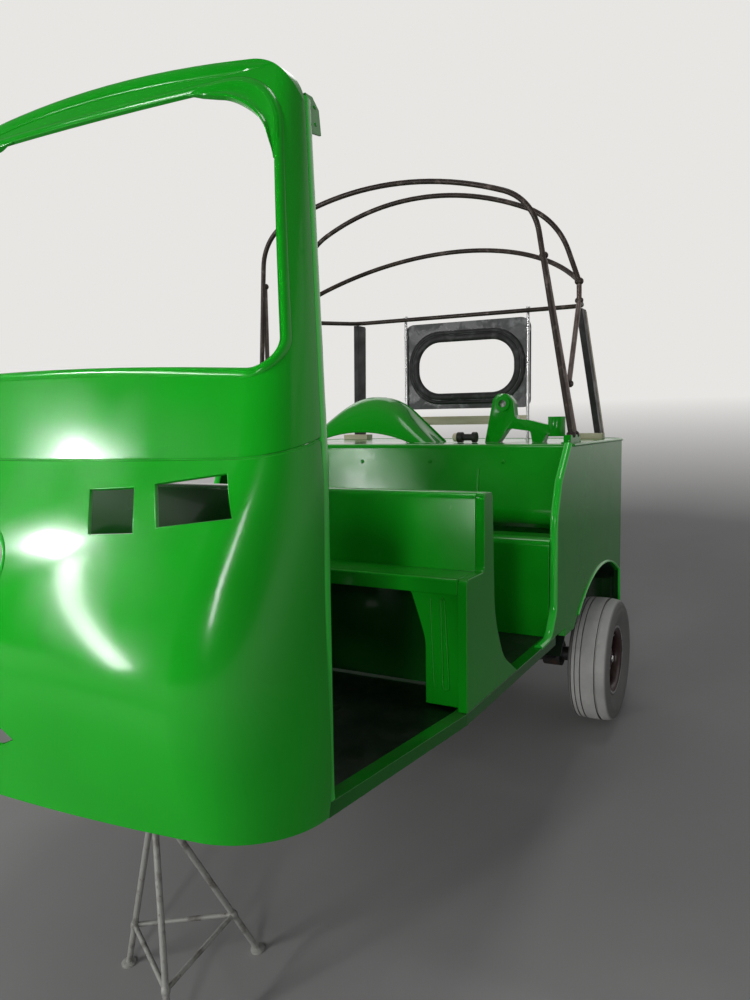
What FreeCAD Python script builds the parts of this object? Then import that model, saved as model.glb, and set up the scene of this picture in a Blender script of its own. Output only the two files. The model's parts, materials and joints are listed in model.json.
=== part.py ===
import FreeCAD, Part
import os
from math import atan2, cos, degrees, hypot, pi, radians, sin, sqrt
from types import SimpleNamespace

import Sketcher

# Stripped three-wheel passenger vehicle, parked nose-up on its rear wheels and a tripod.
# Vehicle frame: origin at the middle of the rear axle, +X forward, +Y left, +Z up from the floor.

V = FreeCAD.Vector
NONE_TURNED = FreeCAD.Rotation()
ACROSS = V(0, 1, 0)
UP = V(0, 0, 1)
SIDES = (("left", 1), ("right", -1))

# Driving dimensions: name, millimetres or degrees, meaning
SIZES = (
    ("nose_up", 9.35, "angle that the vehicle is tipped back on its stand"),
    ("fit_gap", 0.3, "clearance between pieces that lie against each other"),
    ("skin", 5, "thickness of a single pressed skin"),
    ("side_wall", 20, "thickness of a double side wall"),
    ("tyre_radius", 205, "outer radius of a tyre"),
    ("tyre_width", 132, "width of a tyre"),
    ("tyre_shoulder", 26, "bevel of the tyre's shoulders"),
    ("tyre_bead", 18, "height of the tyre's bead inside the rim's flange"),
    ("groove_depth", 5, "depth of a tread groove"),
    ("groove_width", 6, "width of a tread groove"),
    ("groove_pitch", 21, "distance between tread grooves"),
    ("rim_radius", 112, "outer radius of the rim's flange"),
    ("rim_seat_radius", 101, "radius of the tyre's seat on the rim"),
    ("rim_width", 100, "width over the rim's flanges"),
    ("rim_wall", 5, "thickness of the rim"),
    ("hub_radius", 32, "outer radius of the hub"),
    ("drum_radius", 84, "outer radius of the brake drum"),
    ("drum_depth", 46, "depth of the brake drum"),
    ("axle_radius", 14, "radius of the stub axle"),
    ("wheel_inset", 11, "how far the wheels' centre planes lie inside the side panels"),
    ("wheelbase", 2000, "rear axle to the front wheel's place"),
    ("side_half", 600, "half-width over the side panels"),
    ("shell_depth", 180, "depth of the nose shell from its foot's front to its rear edge"),
    ("door_edge_half", 550, "half-width at the nose shell's rear edge"),
    ("door_edge_depth", 22, "depth of the rolled door edge"),
    ("door_edge_lip", 13, "thickness of the rolled door edge"),
    ("foot_z", 200, "bottom edge of the nose shell"),
    ("foot_x", 1880, "front of the nose at its bottom edge"),
    ("belly_z", 440, "height of the nose's fullest section"),
    ("belly_ahead", 35, "how far the nose's fullest section stands ahead of its foot"),
    ("brow_z", 620, "height of the nose's brow"),
    ("brow_back", 7, "how far the nose's brow stands behind its foot"),
    ("foot_round", 3000, "plan radius of the nose at its foot"),
    ("belly_round", 2400, "plan radius of the nose at its fullest section"),
    ("brow_round", 3000, "plan radius of the nose at its brow"),
    ("screen_round", 6500, "plan radius of the flat windscreen panel"),
    ("shell_back", 60, "how far the nose shell reaches behind its rear edge before it is trimmed"),
    ("seam_overlap", 40, "overlap of the two shells at the seam before they are trimmed"),
    ("seam_z", 755, "height of the seam under the windscreen panel"),
    ("seam_back", 72, "how far the seam's front stands behind the nose's foot"),
    ("seam_rise", 0.28, "rise of the seam for each length back from the front"),
    ("seam_groove", 4, "width of the groove along the seam"),
    ("header_z", 1436, "top of the windscreen header"),
    ("screen_lean", 0.34, "backward lean of the windscreen for each length of height"),
    ("pillar_lean", 0.24, "backward lean of the pillars' rear edge"),
    ("header_half", 425, "half-width at the header"),
    ("header_corner", 115, "rounding of the header's corners"),
    ("header_crown", 2600, "radius of the header's crowned top"),
    ("header_fall", 0.12, "fall of the header's top beside its crown"),
    ("opening_low_z", 905, "bottom of the windscreen opening, at its middle"),
    ("opening_low_crown", 7500, "radius of the crowned bottom of the opening"),
    ("opening_low_fall", 0.05, "fall of the opening's bottom beside its crown"),
    ("opening_high_z", 1372, "top of the windscreen opening"),
    ("opening_low_half", 499, "half-width at the opening's bottom"),
    ("opening_high_half", 400, "half-width at the opening's top"),
    ("opening_low_corner", 38, "rounding of the opening's lower corners"),
    ("opening_high_corner", 115, "rounding of the opening's upper corners"),
    ("lamp_hole_radius", 60, "radius of the empty headlamp hole"),
    ("lamp_hole_z", 585, "height of the headlamp hole"),
    ("sill_low_z", 198, "underside of the sills"),
    ("sill_high_z", 222, "top of the sills"),
    ("sill_width", 30, "width of a sill"),
    ("floor_z", 211, "underside of the floor pan"),
    ("belt_z", 740, "top of the side panels and rear deck"),
    ("partition_x", 1100, "rear face of the wall behind the driver"),
    ("partition_depth", 50, "depth of the wall behind the driver"),
    ("partition_top_z", 660, "top of the wall behind the driver"),
    ("shelf_x", 1250, "front edge of the driver's seat shelf"),
    ("shelf_z", 495, "top of the driver's seat shelf"),
    ("leg_width_top", 138, "width of a seat leg at the shelf"),
    ("leg_width_foot", 82, "width of a seat leg at the sill"),
    ("leg_depth", 22, "depth of the pressed seat leg's front"),
    ("leg_setback", 24, "how far the seat legs stand behind the shelf's edge"),
    ("riser_x", 600, "front face of the rear seat's riser"),
    ("riser_top_z", 490, "top of the rear seat's riser"),
    ("seat_shelf_depth", 95, "depth of the flange behind the riser's top"),
    ("backrest_top_x", 430, "front edge of the rear deck"),
    ("backrest_foot_x", 492, "bottom edge of the backrest panel"),
    ("backrest_foot_z", 530, "height of the backrest panel's bottom edge"),
    ("tail_x", -330, "rear face of the tail panel"),
    ("tail_corner", 80, "rounding of the rear corners in plan"),
    ("arch_radius", 580, "radius of the wide wheel arch"),
    ("arch_x", 30, "centre of the wheel arch along the body"),
    ("arch_z", -248, "centre of the wheel arch in height"),
    ("corner_low_z", 112, "bottom edge of the rear corners behind the wheels"),
    ("tail_return", 60, "width of the rear corners' part that lies in the tail's plane"),
    ("liner_depth", 175, "depth of the wheel arch liner"),
    ("lid_margin", 70, "tail panel left beside the engine lid"),
    ("lid_gap", 1, "gap between the engine lid and the tail panel"),
    ("hinge_inset", 120, "how far the lid's hinges stand inside its edges"),
    ("hinge_knuckle", 22, "length of a hinge knuckle"),
    ("lid_top_z", 640, "height of the engine lid's hinge line"),
    ("lid_foot_z", 300, "height of the engine lid's bottom edge"),
    ("lid_lap", 12, "lap of the lid over its opening"),
    ("lid_sheet", 6, "thickness of the engine lid"),
    ("hinge_pin_radius", 4, "radius of the lid's hinge pins"),
    ("hinge_barrel_radius", 8, "outer radius of the hinge barrels"),
    ("rail_half", 210, "half-distance between the chassis rails"),
    ("rail_width", 45, "width of a chassis rail"),
    ("rail_height", 36, "height of a chassis rail"),
    ("member_depth", 40, "depth of a cross member along the body"),
    ("member_height", 28, "height of a cross member"),
    ("jack_member_x", 1520, "cross member over the stand"),
    ("head_tube_radius", 32, "outer radius of the steering head"),
    ("head_bore_radius", 24, "bore of the steering head"),
    ("head_low_z", 150, "lower end of the steering head"),
    ("head_length", 430, "length of the steering head"),
    ("head_back", 90, "how far the steering head's lower end stands behind the nose's foot"),
    ("head_rake", 15, "backward lean of the steering head"),
    ("engine_length", 330, "length of the engine block"),
    ("engine_height", 290, "height of the engine block"),
    ("engine_low_z", -50, "underside of the engine block"),
    ("arm_pivot_x", 430, "pivot of the trailing arms"),
    ("arm_pivot_z", 110, "height of the trailing arms' pivot"),
    ("arm_clearance", 93, "distance between a tyre and the middle of its trailing arm"),
    ("arm_radius", 24, "radius of a trailing arm's tube"),
    ("arm_eye_length", 70, "length of a trailing arm's eye"),
    ("arm_pin_radius", 12, "radius of a trailing arm's pivot pin"),
    ("shock_radius", 34, "radius over the shock absorber's spring"),
    ("hood_tube", 8, "radius of the hood frame's rods"),
    ("hood_pivot_x", 330, "hood pivots along the body"),
    ("hood_pivot_inset", 33, "how far the hood pivots lie inside the side panels"),
    ("hood_pivot_z", 765, "height of the hood pivots"),
    ("brace_back", 52, "distance between the feet of the front bow and its brace"),
    ("brace_head_back", 40, "how far a brace's head stands behind the front bow's crown"),
    ("brace_head_inset", 72, "how far a brace's head stands inside the hood pivots"),
    ("brace_head_z", 1285, "height of a brace's head"),
    ("hood_knee_z", 1185, "height of the knee in a rear leg of the hood"),
    ("hood_foot_x", 280, "lower end of a rear leg along the body"),
    ("hood_foot_inset", 21, "how far a rear leg's lower end stands inside the hood pivots"),
    ("hood_foot_z", 918, "height of a rear leg's lower end"),
    ("front_bow_x", 420, "front bow's crown along the body"),
    ("front_bow_z", 1545, "front bow's crown height"),
    ("hood_joint_x", 125, "joint of the rear bows along the body"),
    ("hood_joint_inset", 65, "how far the rear bows' joints lie inside the side panels"),
    ("hood_joint_z", 1245, "height of the rear bows' joints"),
    ("middle_bow_x", 170, "middle bow's crown along the body"),
    ("middle_bow_z", 1565, "middle bow's crown height"),
    ("rear_bow_x", -100, "rear bow's crown along the body"),
    ("rear_bow_z", 1432, "rear bow's crown height"),
    ("rear_rail_x", -212, "rear rail's straight crown along the body"),
    ("rear_rail_z", 1215, "height of the rear rail"),
    ("board_foot_x", -308, "foot of a side board along the body"),
    ("board_top_x", -222, "top of a side board along the body"),
    ("board_foot_inset", 90, "how far the boards' feet stand inside the side panels"),
    ("board_top_inset", 144, "how far the boards' tops stand inside the side panels"),
    ("board_width", 60, "width of a side board"),
    ("board_sheet", 22, "thickness of a side board"),
    ("window_x", -250, "rear window panel along the body"),
    ("window_half", 262, "half-width of the rear window panel"),
    ("window_low_z", 860, "bottom of the rear window panel"),
    ("window_high_z", 1198, "top of the rear window panel"),
    ("window_sheet", 8, "thickness of the rear window panel"),
    ("glass_half", 226, "half-width of the rear window's opening"),
    ("glass_low_z", 893, "bottom of the rear window's opening"),
    ("glass_high_z", 1150, "top of the rear window's opening"),
    ("glass_corner", 118, "rounding of the rear window's opening"),
    ("seal_width", 44, "width of the rubber round the rear window"),
    ("pole_radius", 6, "radius of the bright window poles"),
    ("pole_top_z", 1230, "top of the bright window poles"),
    ("guard_sheet", 3, "thickness of the loose mudguard"),
    ("guard_x", 290, "front lip of the loose mudguard along the deck"),
    ("guard_y", -172, "middle of the loose mudguard across the deck"),
    ("casting_x", 205, "loose casting's place along the deck"),
    ("casting_inset", 600, "distance from the side panels to the casting's measuring line across the deck"),
    ("casting_depth", 40, "depth of the loose casting"),
    ("casting_boss_radius", 27, "radius of the loose casting's boss"),
    ("casting_boss_height", 62, "height of the loose casting's boss"),
    ("strip_half", 255, "half-length of the wooden strip under the rear window"),
    ("strip_low_z", 797, "underside of the wooden strip"),
    ("strip_high_z", 830, "top of the wooden strip"),
    ("strip_lap", 4, "thickness of the wooden strip behind the window panel"),
    ("block_inset", 85, "how far a wooden block reaches inside its board's middle"),
    ("block_length", 112, "length of a wooden block across the deck"),
    ("block_width", 46, "width of a wooden block along the deck"),
    ("block_height", 20, "height of a wooden block"),
    ("stand_x", 1490, "tripod's place in front of the axle, along the ground"),
    ("stand_spread", 175, "radius of the circle through the tripod's feet"),
    ("stand_apex_z", 475, "height of the tripod's apex"),
    ("stand_rod", 7, "radius of the tripod's rods"),
    ("stand_brace_z", 122, "height of the tripod's brace ring"),
)


class Cell(float):
    """A size that remembers the sheet formula that gives it."""

    def __new__(cls, value, formula):
        number = float.__new__(cls, value)
        number.formula = formula
        return number

    def join(self, sign, other, value):
        return Cell(value, f"({formula(self)} {sign} {formula(other)})")

    def __add__(self, other):
        return self.join("+", other, float(self) + float(other))

    def __sub__(self, other):
        return self.join("-", other, float(self) - float(other))

    def __mul__(self, other):
        return self.join("*", other, float(self) * float(other))

    def __truediv__(self, other):
        return self.join("/", other, float(self) / float(other))

    def __neg__(self):
        return Cell(-float(self), f"(0 - {self.formula})")

    def __radd__(self, other):
        return self + other

    def __rsub__(self, other):
        return Cell(float(other) - float(self), f"({formula(other)} - {self.formula})")

    def __rmul__(self, other):
        return self * other


def formula(value):
    """The sheet formula of a cell, or a plain number as text."""
    if isinstance(value, Cell):
        return value.formula
    return repr(float(value))


doc = FreeCAD.newDocument("ThreeWheeler")
sheet = doc.addObject("Spreadsheet::Sheet", "Sizes")
for row, (name, value, meaning) in enumerate(SIZES, start=1):
    sheet.set(f"A{row}", name)
    sheet.set(f"B{row}", str(value))
    sheet.setAlias(f"B{row}", name)
    sheet.set(f"C{row}", meaning)
doc.recompute()
S = SimpleNamespace(**{name: Cell(getattr(sheet, name), f"Sizes.{name}") for name, _, _ in SIZES})

# Sizes that follow from others
S.belly_x = S.foot_x + S.belly_ahead
S.brow_x = S.foot_x - S.brow_back
S.seam_x = S.foot_x - S.seam_back
S.door_edge_x = S.foot_x - S.shell_depth
S.head_x = S.foot_x - S.head_back
S.casting_y = S.side_half - S.casting_inset
S.track = (S.side_half - S.wheel_inset) * 2
S.arm_half = S.track / 2 - S.tyre_width / 2 - S.arm_clearance
S.hood_pivot_half = S.side_half - S.hood_pivot_inset
S.hood_joint_half = S.side_half - S.hood_joint_inset
S.board_foot_half = S.side_half - S.board_foot_inset
S.board_top_half = S.side_half - S.board_top_inset
S.tail_half = S.side_half - S.tail_corner - S.tail_return
S.lid_half = S.tail_half - S.lid_margin

vehicle_pieces = []
ground_pieces = []


def bind(thing, prop, value):
    """Sets a property, by formula where the value comes from the sheet."""
    if isinstance(value, Cell):
        thing.setExpression(prop, value.formula)
    else:
        setattr(thing, prop, float(value))


def box(name, size_x, size_y, size_z, corner):
    block = doc.addObject("Part::Box", name)
    bind(block, "Length", size_x)
    bind(block, "Width", size_y)
    bind(block, "Height", size_z)
    block.Placement = FreeCAD.Placement(V(*corner), NONE_TURNED)
    return block


def rod(name, start, end, radius):
    """A straight round bar from one point to another."""
    bar = doc.addObject("Part::Cylinder", name)
    bind(bar, "Radius", radius)
    way = V(*end) - V(*start)
    bar.Height = way.Length
    bar.Placement = FreeCAD.Placement(V(*start), FreeCAD.Rotation(UP, way))
    return bar


def fuse(name, pieces):
    joined = doc.addObject("Part::MultiFuse", name)
    joined.Shapes = pieces
    return joined


def cut(name, base, tool):
    left = doc.addObject("Part::Cut", name)
    left.Base = base
    left.Tool = tool
    return left


def shaped(name, shape):
    piece = doc.addObject("Part::Feature", name)
    piece.Shape = shape
    return piece


def on_vehicle(piece, label=None):
    piece.Label = label or piece.Name
    vehicle_pieces.append(piece)
    return piece


def on_ground(piece, label=None):
    piece.Label = label or piece.Name
    ground_pieces.append(piece)
    return piece


def both_sides(shape_of):
    """A compound of the left and right solids."""
    return Part.makeCompound([shape_of(side) for _, side in SIDES])


# Outlines: corners are (across, up) or (across, up, rounding), given anticlockwise

def rounded_runs(corners):
    """Lines and arcs of an outline: ("line", a, b) or ("arc", a, middle, b, centre, radius)."""
    count = len(corners)
    starts, ends, arcs = [None] * count, [None] * count, [None] * count
    for i, corner in enumerate(corners):
        x, y = float(corner[0]), float(corner[1])
        radius = float(corner[2]) if len(corner) > 2 else 0.0
        if not radius:
            starts[i] = ends[i] = (x, y)
            continue
        before, after = corners[i - 1], corners[(i + 1) % count]
        ax, ay = float(before[0]) - x, float(before[1]) - y
        bx, by = float(after[0]) - x, float(after[1]) - y
        la, lb = hypot(ax, ay), hypot(bx, by)
        ax, ay, bx, by = ax / la, ay / la, bx / lb, by / lb
        half = 0.5 * abs(atan2(ax * by - ay * bx, ax * bx + ay * by))
        reach = radius * cos(half) / sin(half)
        starts[i] = (x + ax * reach, y + ay * reach)
        ends[i] = (x + bx * reach, y + by * reach)
        mx, my = ax + bx, ay + by
        lm = hypot(mx, my)
        away = radius / sin(half)
        centre = (x + mx / lm * away, y + my / lm * away)
        middle = (centre[0] - mx / lm * radius, centre[1] - my / lm * radius)
        arcs[i] = ("arc", starts[i], middle, ends[i], centre, radius)
    runs = []
    for i in range(count):
        if arcs[i]:
            runs.append(arcs[i])
        a, b = ends[i], starts[(i + 1) % count]
        if hypot(a[0] - b[0], a[1] - b[1]) > 1e-6:
            runs.append(("line", a, b))
    return runs


PLANES = {
    "front": lambda a, b: V(0, a, b),
    "side": lambda a, b: V(a, 0, b),
    "plan": lambda a, b: V(a, b, 0),
}


def outline_face(plane, corners):
    """A flat face with the outline's lines and arcs, in one of the vehicle's planes."""
    place = PLANES[plane]
    edges = []
    for run in rounded_runs(corners):
        if run[0] == "line":
            edges.append(Part.LineSegment(place(*run[1]), place(*run[2])).toShape())
        else:
            edges.append(Part.Arc(place(*run[1]), place(*run[2]), place(*run[3])).toShape())
    return Part.Face(Part.Wire(edges))


def slab(plane, corners, low, high):
    """An outline drawn out square to its plane, from low to high."""
    normal = {"front": V(1, 0, 0), "side": ACROSS, "plan": UP}[plane]
    face = outline_face(plane, corners)
    face.translate(normal * float(low))
    return face.extrude(normal * (float(high) - float(low)))


ROLES = {"front": "YZ_Plane", "side": "XZ_Plane", "plan": "XY_Plane"}
# A pad on the side plane grows towards -Y, on the others towards +
PAD_SIGN = {"front": 1, "side": -1, "plan": 1}


def sketch_outline(body, plane, corners, name, offset=0):
    """A closed sketch with each corner held by formulas, rounded by tangent arcs."""
    origin = [f for f in body.Origin.OriginFeatures if f.Role == ROLES[plane]][0]
    sketch = body.newObject("Sketcher::SketchObject", name)
    sketch.AttachmentSupport = [(origin, "")]
    sketch.MapMode = "FlatFace"
    sketch.AttachmentOffset = FreeCAD.Placement(V(0, 0, float(offset) * PAD_SIGN[plane]), NONE_TURNED)
    add_outline(sketch, corners)
    return sketch


def add_outline(sketch, corners):
    count = len(corners)
    runs = rounded_runs(corners)
    first = sketch.GeometryCount
    for run in runs:
        if run[0] == "line":
            sketch.addGeometry(Part.LineSegment(V(*run[1], 0), V(*run[2], 0)))
        else:
            sketch.addGeometry(Part.Arc(V(*run[1], 0), V(*run[2], 0), V(*run[3], 0)))
    total = len(runs)
    turns = [1 if arc_is_left(run) else -1 for run in runs]
    lines = []
    for i, run in enumerate(runs):
        nxt = (i + 1) % total
        end = 2 if turns[i] > 0 else 1
        start = 1 if turns[nxt] > 0 else 2
        straight = run[0] == "line" and runs[nxt][0] == "line"
        kind = "Coincident" if straight else "Tangent"
        sketch.addConstraint(Sketcher.Constraint(kind, first + i, end, first + nxt, start))
        if run[0] == "line":
            lines.append(first + i)
    line_after = 0
    for i, corner in enumerate(corners):
        x, y = corner[0], corner[1]
        before, after = lines[(i - 1) % count], lines[i]
        if len(corner) > 2 and float(corner[2]):
            mark = sketch.addGeometry(Part.Point(V(float(x), float(y), 0)), True)
            sketch.addConstraint(Sketcher.Constraint("PointOnObject", mark, 1, before))
            sketch.addConstraint(Sketcher.Constraint("PointOnObject", mark, 1, after))
            hold = (mark, 1)
            arc = first + [n for n, run in enumerate(runs) if run[0] == "arc"][line_after]
            line_after += 1
            number = sketch.addConstraint(Sketcher.Constraint("Radius", arc, float(corner[2])))
            if isinstance(corner[2], Cell):
                sketch.setExpression(f"Constraints[{number}]", corner[2].formula)
        else:
            hold = (after, 1)
        for kind, value in (("DistanceX", x), ("DistanceY", y)):
            number = sketch.addConstraint(Sketcher.Constraint(kind, -1, 1, *hold, float(value)))
            if isinstance(value, Cell):
                sketch.setExpression(f"Constraints[{number}]", value.formula)


def arc_is_left(run):
    """True for a line, and for an arc that runs anticlockwise."""
    if run[0] == "line":
        return True
    (ax, ay), (mx, my), (bx, by) = run[1], run[2], run[3]
    return (mx - ax) * (by - ay) - (my - ay) * (bx - ax) > 0


def padded(name, plane, corners, low, thickness, pockets=()):
    """A body padded from an outline, with pockets through it."""
    body = doc.addObject("PartDesign::Body", name)
    base = low + thickness if plane == "side" else low
    sketch = sketch_outline(body, plane, corners, name + "_outline", base)
    pad = body.newObject("PartDesign::Pad", name + "_pad")
    pad.Profile = sketch
    bind(pad, "Length", thickness)
    for number, hole in enumerate(pockets, start=1):
        hole_sketch = sketch_outline(body, plane, hole, f"{name}_opening_{number}", base)
        pocket = body.newObject("PartDesign::Pocket", f"{name}_pocket_{number}")
        pocket.Profile = hole_sketch
        pocket.Type = "ThroughAll"
        pocket.Reversed = True
    return body


# Body shell: each section is a plan curve of a front arc and two corner arcs

def section_wire(height, front_x, edge_x, half, front_radius, back_x, inset=0.0):
    """Closed plan section, its corner arcs starting square at the door edge."""
    front, half, big = front_x - inset, half - inset, front_radius - inset
    reach = edge_x - front + big
    corner = (big * big - reach * reach - half * half) / (2 * (big - half))
    centre_y = half - corner
    swing = atan2(centre_y, reach)
    tangent = V(front - big + big * cos(swing), big * sin(swing), height)
    half_turn = 0.5 * (pi / 2 + swing)
    middle = V(edge_x + corner * cos(half_turn), centre_y + corner * sin(half_turn), height)
    edge = V(edge_x, half, height)
    back = V(back_x, half, height)

    def mirror(point):
        return V(point.x, -point.y, point.z)

    curves = [
        Part.Arc(edge, middle, tangent),
        Part.Arc(tangent, V(front, 0, height), mirror(tangent)),
        Part.Arc(mirror(tangent), mirror(middle), mirror(edge)),
    ]
    if back_x < edge_x:
        curves = [Part.LineSegment(back, edge), *curves, Part.LineSegment(mirror(edge), mirror(back))]
    curves.append(Part.LineSegment(mirror(back), back))
    return Part.Wire([curve.toShape() for curve in curves])


def screen_x(height):
    """Front of the windscreen frame at a height."""
    return S.seam_x - (height - S.seam_z) * S.screen_lean


def pillar_x(height):
    """Rear edge of the pillars at a height above the seam's ends."""
    return S.door_edge_x - (height - S.seam_z) * S.pillar_lean


def screen_half(height):
    """Half-width of the windscreen frame at a height."""
    rise = (height - S.seam_z) / (S.header_z - S.seam_z)
    return S.door_edge_half + (S.header_half - S.door_edge_half) * rise


def nose_loft(inset, back):
    above = S.seam_z + S.seam_overlap
    # height, front, half-width, plan radius of the front
    table = (
        (S.foot_z, S.foot_x, S.door_edge_half, S.foot_round),
        (S.belly_z, S.belly_x, S.door_edge_half + 2, S.belly_round),
        (S.brow_z, S.brow_x, S.door_edge_half + 1, S.brow_round),
        (S.seam_z, S.seam_x, S.door_edge_half, S.screen_round),
        (above, screen_x(above), S.door_edge_half - 4, S.screen_round),
    )
    wires = []
    for height, front, half, bend in table:
        wires.append(section_wire(float(height), float(front), float(S.door_edge_x), float(half),
                                  float(bend), float(S.door_edge_x) - back, inset))
    return Part.makeLoft(wires, True, False)


def screen_loft(inset, back):
    wires = []
    for height in (S.seam_z - S.seam_overlap, S.header_z + S.seam_overlap):
        edge = float(pillar_x(height))
        wires.append(section_wire(float(height), float(screen_x(height)), edge, float(screen_half(height)),
                                  float(S.screen_round), edge - back, inset))
    return Part.makeLoft(wires, True, True)


def seam_side(above, gap):
    """A large block on one side of the tilted seam plane."""
    reach = 1500.0
    height = reach if above else -reach
    block = Part.makeBox(2 * reach, 2 * reach, reach, V(-reach, -reach, gap if above else -reach - gap))
    tilt = degrees(atan2(float(S.seam_rise), 1.0))
    block.Placement = FreeCAD.Placement(V(float(S.seam_x), 0, float(S.seam_z)),
                                        FreeCAD.Rotation(ACROSS, tilt))
    return block


def groove_room(core):
    """Groove along the seam, as deep as the core lies under the surface."""
    half = -float(S.seam_groove) / 2
    return seam_side(True, half).common(seam_side(False, half)).cut(core)


# Openings in the nose, seen from the front: (across, up) of the left ones
VENTS = (
    ((348, 660), (470, 676), (450, 739), (326, 722)),
    ((224, 645), (308, 650), (288, 716), (201, 711)),
)
SLOT = ((-83, 312), (-46, 295, 40), (46, 295, 40), (83, 312), (50, 337, 60), (-50, 337, 60))


def nose_panel():
    outer = nose_loft(0.0, 0.0)
    inner = nose_loft(float(S.skin), float(S.shell_back))
    shell = outer.cut(inner).common(seam_side(False, float(S.fit_gap) / 2))
    shell = shell.cut(groove_room(nose_loft(float(S.skin) / 2, float(S.shell_back))))
    front = float(S.belly_x) + 100
    for vent in VENTS:
        for _, side in SIDES:
            corners = [(side * y, z) for y, z in vent]
            shell = shell.cut(slab("front", corners, S.door_edge_x - 100, front))
    lamp = Part.makeCylinder(float(S.lamp_hole_radius), 400, V(float(S.door_edge_x), 0, float(S.lamp_hole_z)),
                             V(1, 0, 0))
    slot = slab("front", SLOT, S.door_edge_x - 100, front)
    return shell.cut(lamp).cut(slot)


def crowned(half, height, crown, fall):
    """Height of an outline's rounded middle corner and of its ends, for a crown at a height."""
    peak = height + crown * fall * fall / 2
    return peak, peak - fall * half


def header_trim(inset):
    """What lies above the header and outside its rounded corners, seen from the front."""
    high = float(S.header_z) - inset
    corner, fall, crown = float(S.header_corner) - inset, float(S.header_fall), float(S.header_crown) - inset
    far = float(S.side_half) + 100
    slope = (float(S.header_half) - float(S.door_edge_half)) / (float(S.header_z) - float(S.seam_z))
    margin = 0.6 - inset

    def half(z):
        return float(S.header_half) + margin + (z - float(S.header_z)) * slope

    peak, _ = crowned(0, high, crown, fall)
    end = (peak - fall * half(0)) / (1 + fall * slope)
    low = end - 1.1 * corner
    outline = [(far, low), (far, high + 200), (-far, high + 200), (-far, low), (-half(low), low),
               (-half(end), end, corner), (0, peak, crown), (half(end), end, corner), (half(low), low)]
    return slab("front", outline, float(S.door_edge_x) - 2 * far, float(S.seam_x) + 50)


def opening_outline():
    lows, highs, high = float(S.opening_low_half), float(S.opening_high_half), float(S.opening_high_z)
    low_corner, high_corner = float(S.opening_low_corner), float(S.opening_high_corner)
    crown = float(S.opening_low_crown)
    peak, end = crowned(lows, float(S.opening_low_z), crown, float(S.opening_low_fall))
    return [(-lows, end, low_corner), (0, peak, crown), (lows, end, low_corner),
            (highs, high, high_corner), (-highs, high, high_corner)]


def behind_pillars():
    """What lies behind the pillars' rear edge, seen from the side."""
    low, high = S.seam_z - 2 * S.seam_overlap, S.header_z + 2 * S.seam_overlap
    far = float(S.side_half) + 100
    back = float(S.door_edge_x) - 2 * far
    outline = [(back, low), (pillar_x(low), low), (pillar_x(high), high), (back, high)]
    return slab("side", outline, -far, far)


def windscreen_frame():
    outer = screen_loft(0.0, float(S.shell_back) / 2).cut(header_trim(0.0))
    inner = screen_loft(float(S.skin), float(S.shell_back)).cut(header_trim(float(S.skin)))
    shell = outer.cut(inner).cut(behind_pillars()).common(seam_side(True, float(S.fit_gap) / 2))
    shell = shell.cut(groove_room(screen_loft(float(S.skin) / 2, float(S.shell_back))))
    return shell.cut(slab("front", opening_outline(), 1000, float(S.seam_x) + 50))


on_vehicle(shaped("nose_panel", nose_panel()))
on_vehicle(shaped("windscreen_frame", windscreen_frame()))

edges = []
for side_name, side in SIDES:
    low_y = S.door_edge_half - S.door_edge_lip if side > 0 else -S.door_edge_half
    foot_z = S.sill_high_z + S.fit_gap
    strip = [(S.door_edge_x - S.door_edge_depth, foot_z), (S.door_edge_x - S.fit_gap, foot_z),
             (S.door_edge_x - S.fit_gap, S.seam_z), (S.door_edge_x - S.door_edge_depth, S.seam_z)]
    edges.append(padded(f"door_edge_{side_name}", "side", strip, low_y, S.door_edge_lip))
on_vehicle(fuse("door_edges", edges))


# Floor, sills and chassis

floor_front_x = S.door_edge_x
bend_x = S.shelf_x
FLOOR_BACK = 45.0


def floor_corners(inset):
    back = S.riser_x - FLOOR_BACK
    return [
        (back, -(S.side_half - inset)), (bend_x, -(S.side_half - inset)),
        (floor_front_x, -(S.door_edge_half - inset)), (floor_front_x, S.door_edge_half - inset),
        (bend_x, S.side_half - inset), (back, S.side_half - inset),
    ]


on_vehicle(padded("floor_pan", "plan", floor_corners(S.sill_width + S.fit_gap), S.floor_z, S.skin))

sill_back_x = S.riser_x + S.fit_gap
sill_bars = []
for side_name, side in SIDES:
    outer_edge = [(sill_back_x, S.side_half), (bend_x, S.side_half), (floor_front_x, S.door_edge_half)]
    inner_edge = [(x, half - S.sill_width) for x, half in reversed(outer_edge)]
    corners = [(x, half * side) for x, half in outer_edge + inner_edge]
    if side > 0:
        corners.reverse()
    sill_bars.append(padded(f"sill_{side_name}", "plan", corners, S.sill_low_z, S.sill_high_z - S.sill_low_z))
on_vehicle(fuse("sills", sill_bars))

rail_top_z = S.floor_z - S.fit_gap
rail_front_x = floor_front_x - 60
rail_back_x = S.tail_x + S.member_depth + S.fit_gap
rails = []
for side_name, side in SIDES:
    corner_y = side * float(S.rail_half) - float(S.rail_width) / 2
    rails.append(box(f"rail_{side_name}", rail_front_x - rail_back_x, S.rail_width, S.rail_height,
                     (rail_back_x, corner_y, rail_top_z - S.rail_height)))
on_vehicle(fuse("chassis_rails", rails))

liner_inner_y = S.side_half - S.side_wall - S.fit_gap - S.liner_depth
narrowing = (S.side_half - S.door_edge_half) / (floor_front_x - bend_x)


def floor_half(x):
    """Half-width of the floor between the sills at a place along the body."""
    straight = S.side_half - S.sill_width - S.fit_gap
    return straight if float(x) <= float(bend_x) else straight - (x - bend_x) * narrowing


def cross_member(name, x, reach):
    return box(name, S.member_depth, 2 * reach, S.member_height, (x, -reach, rail_top_z - S.member_height))


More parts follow.
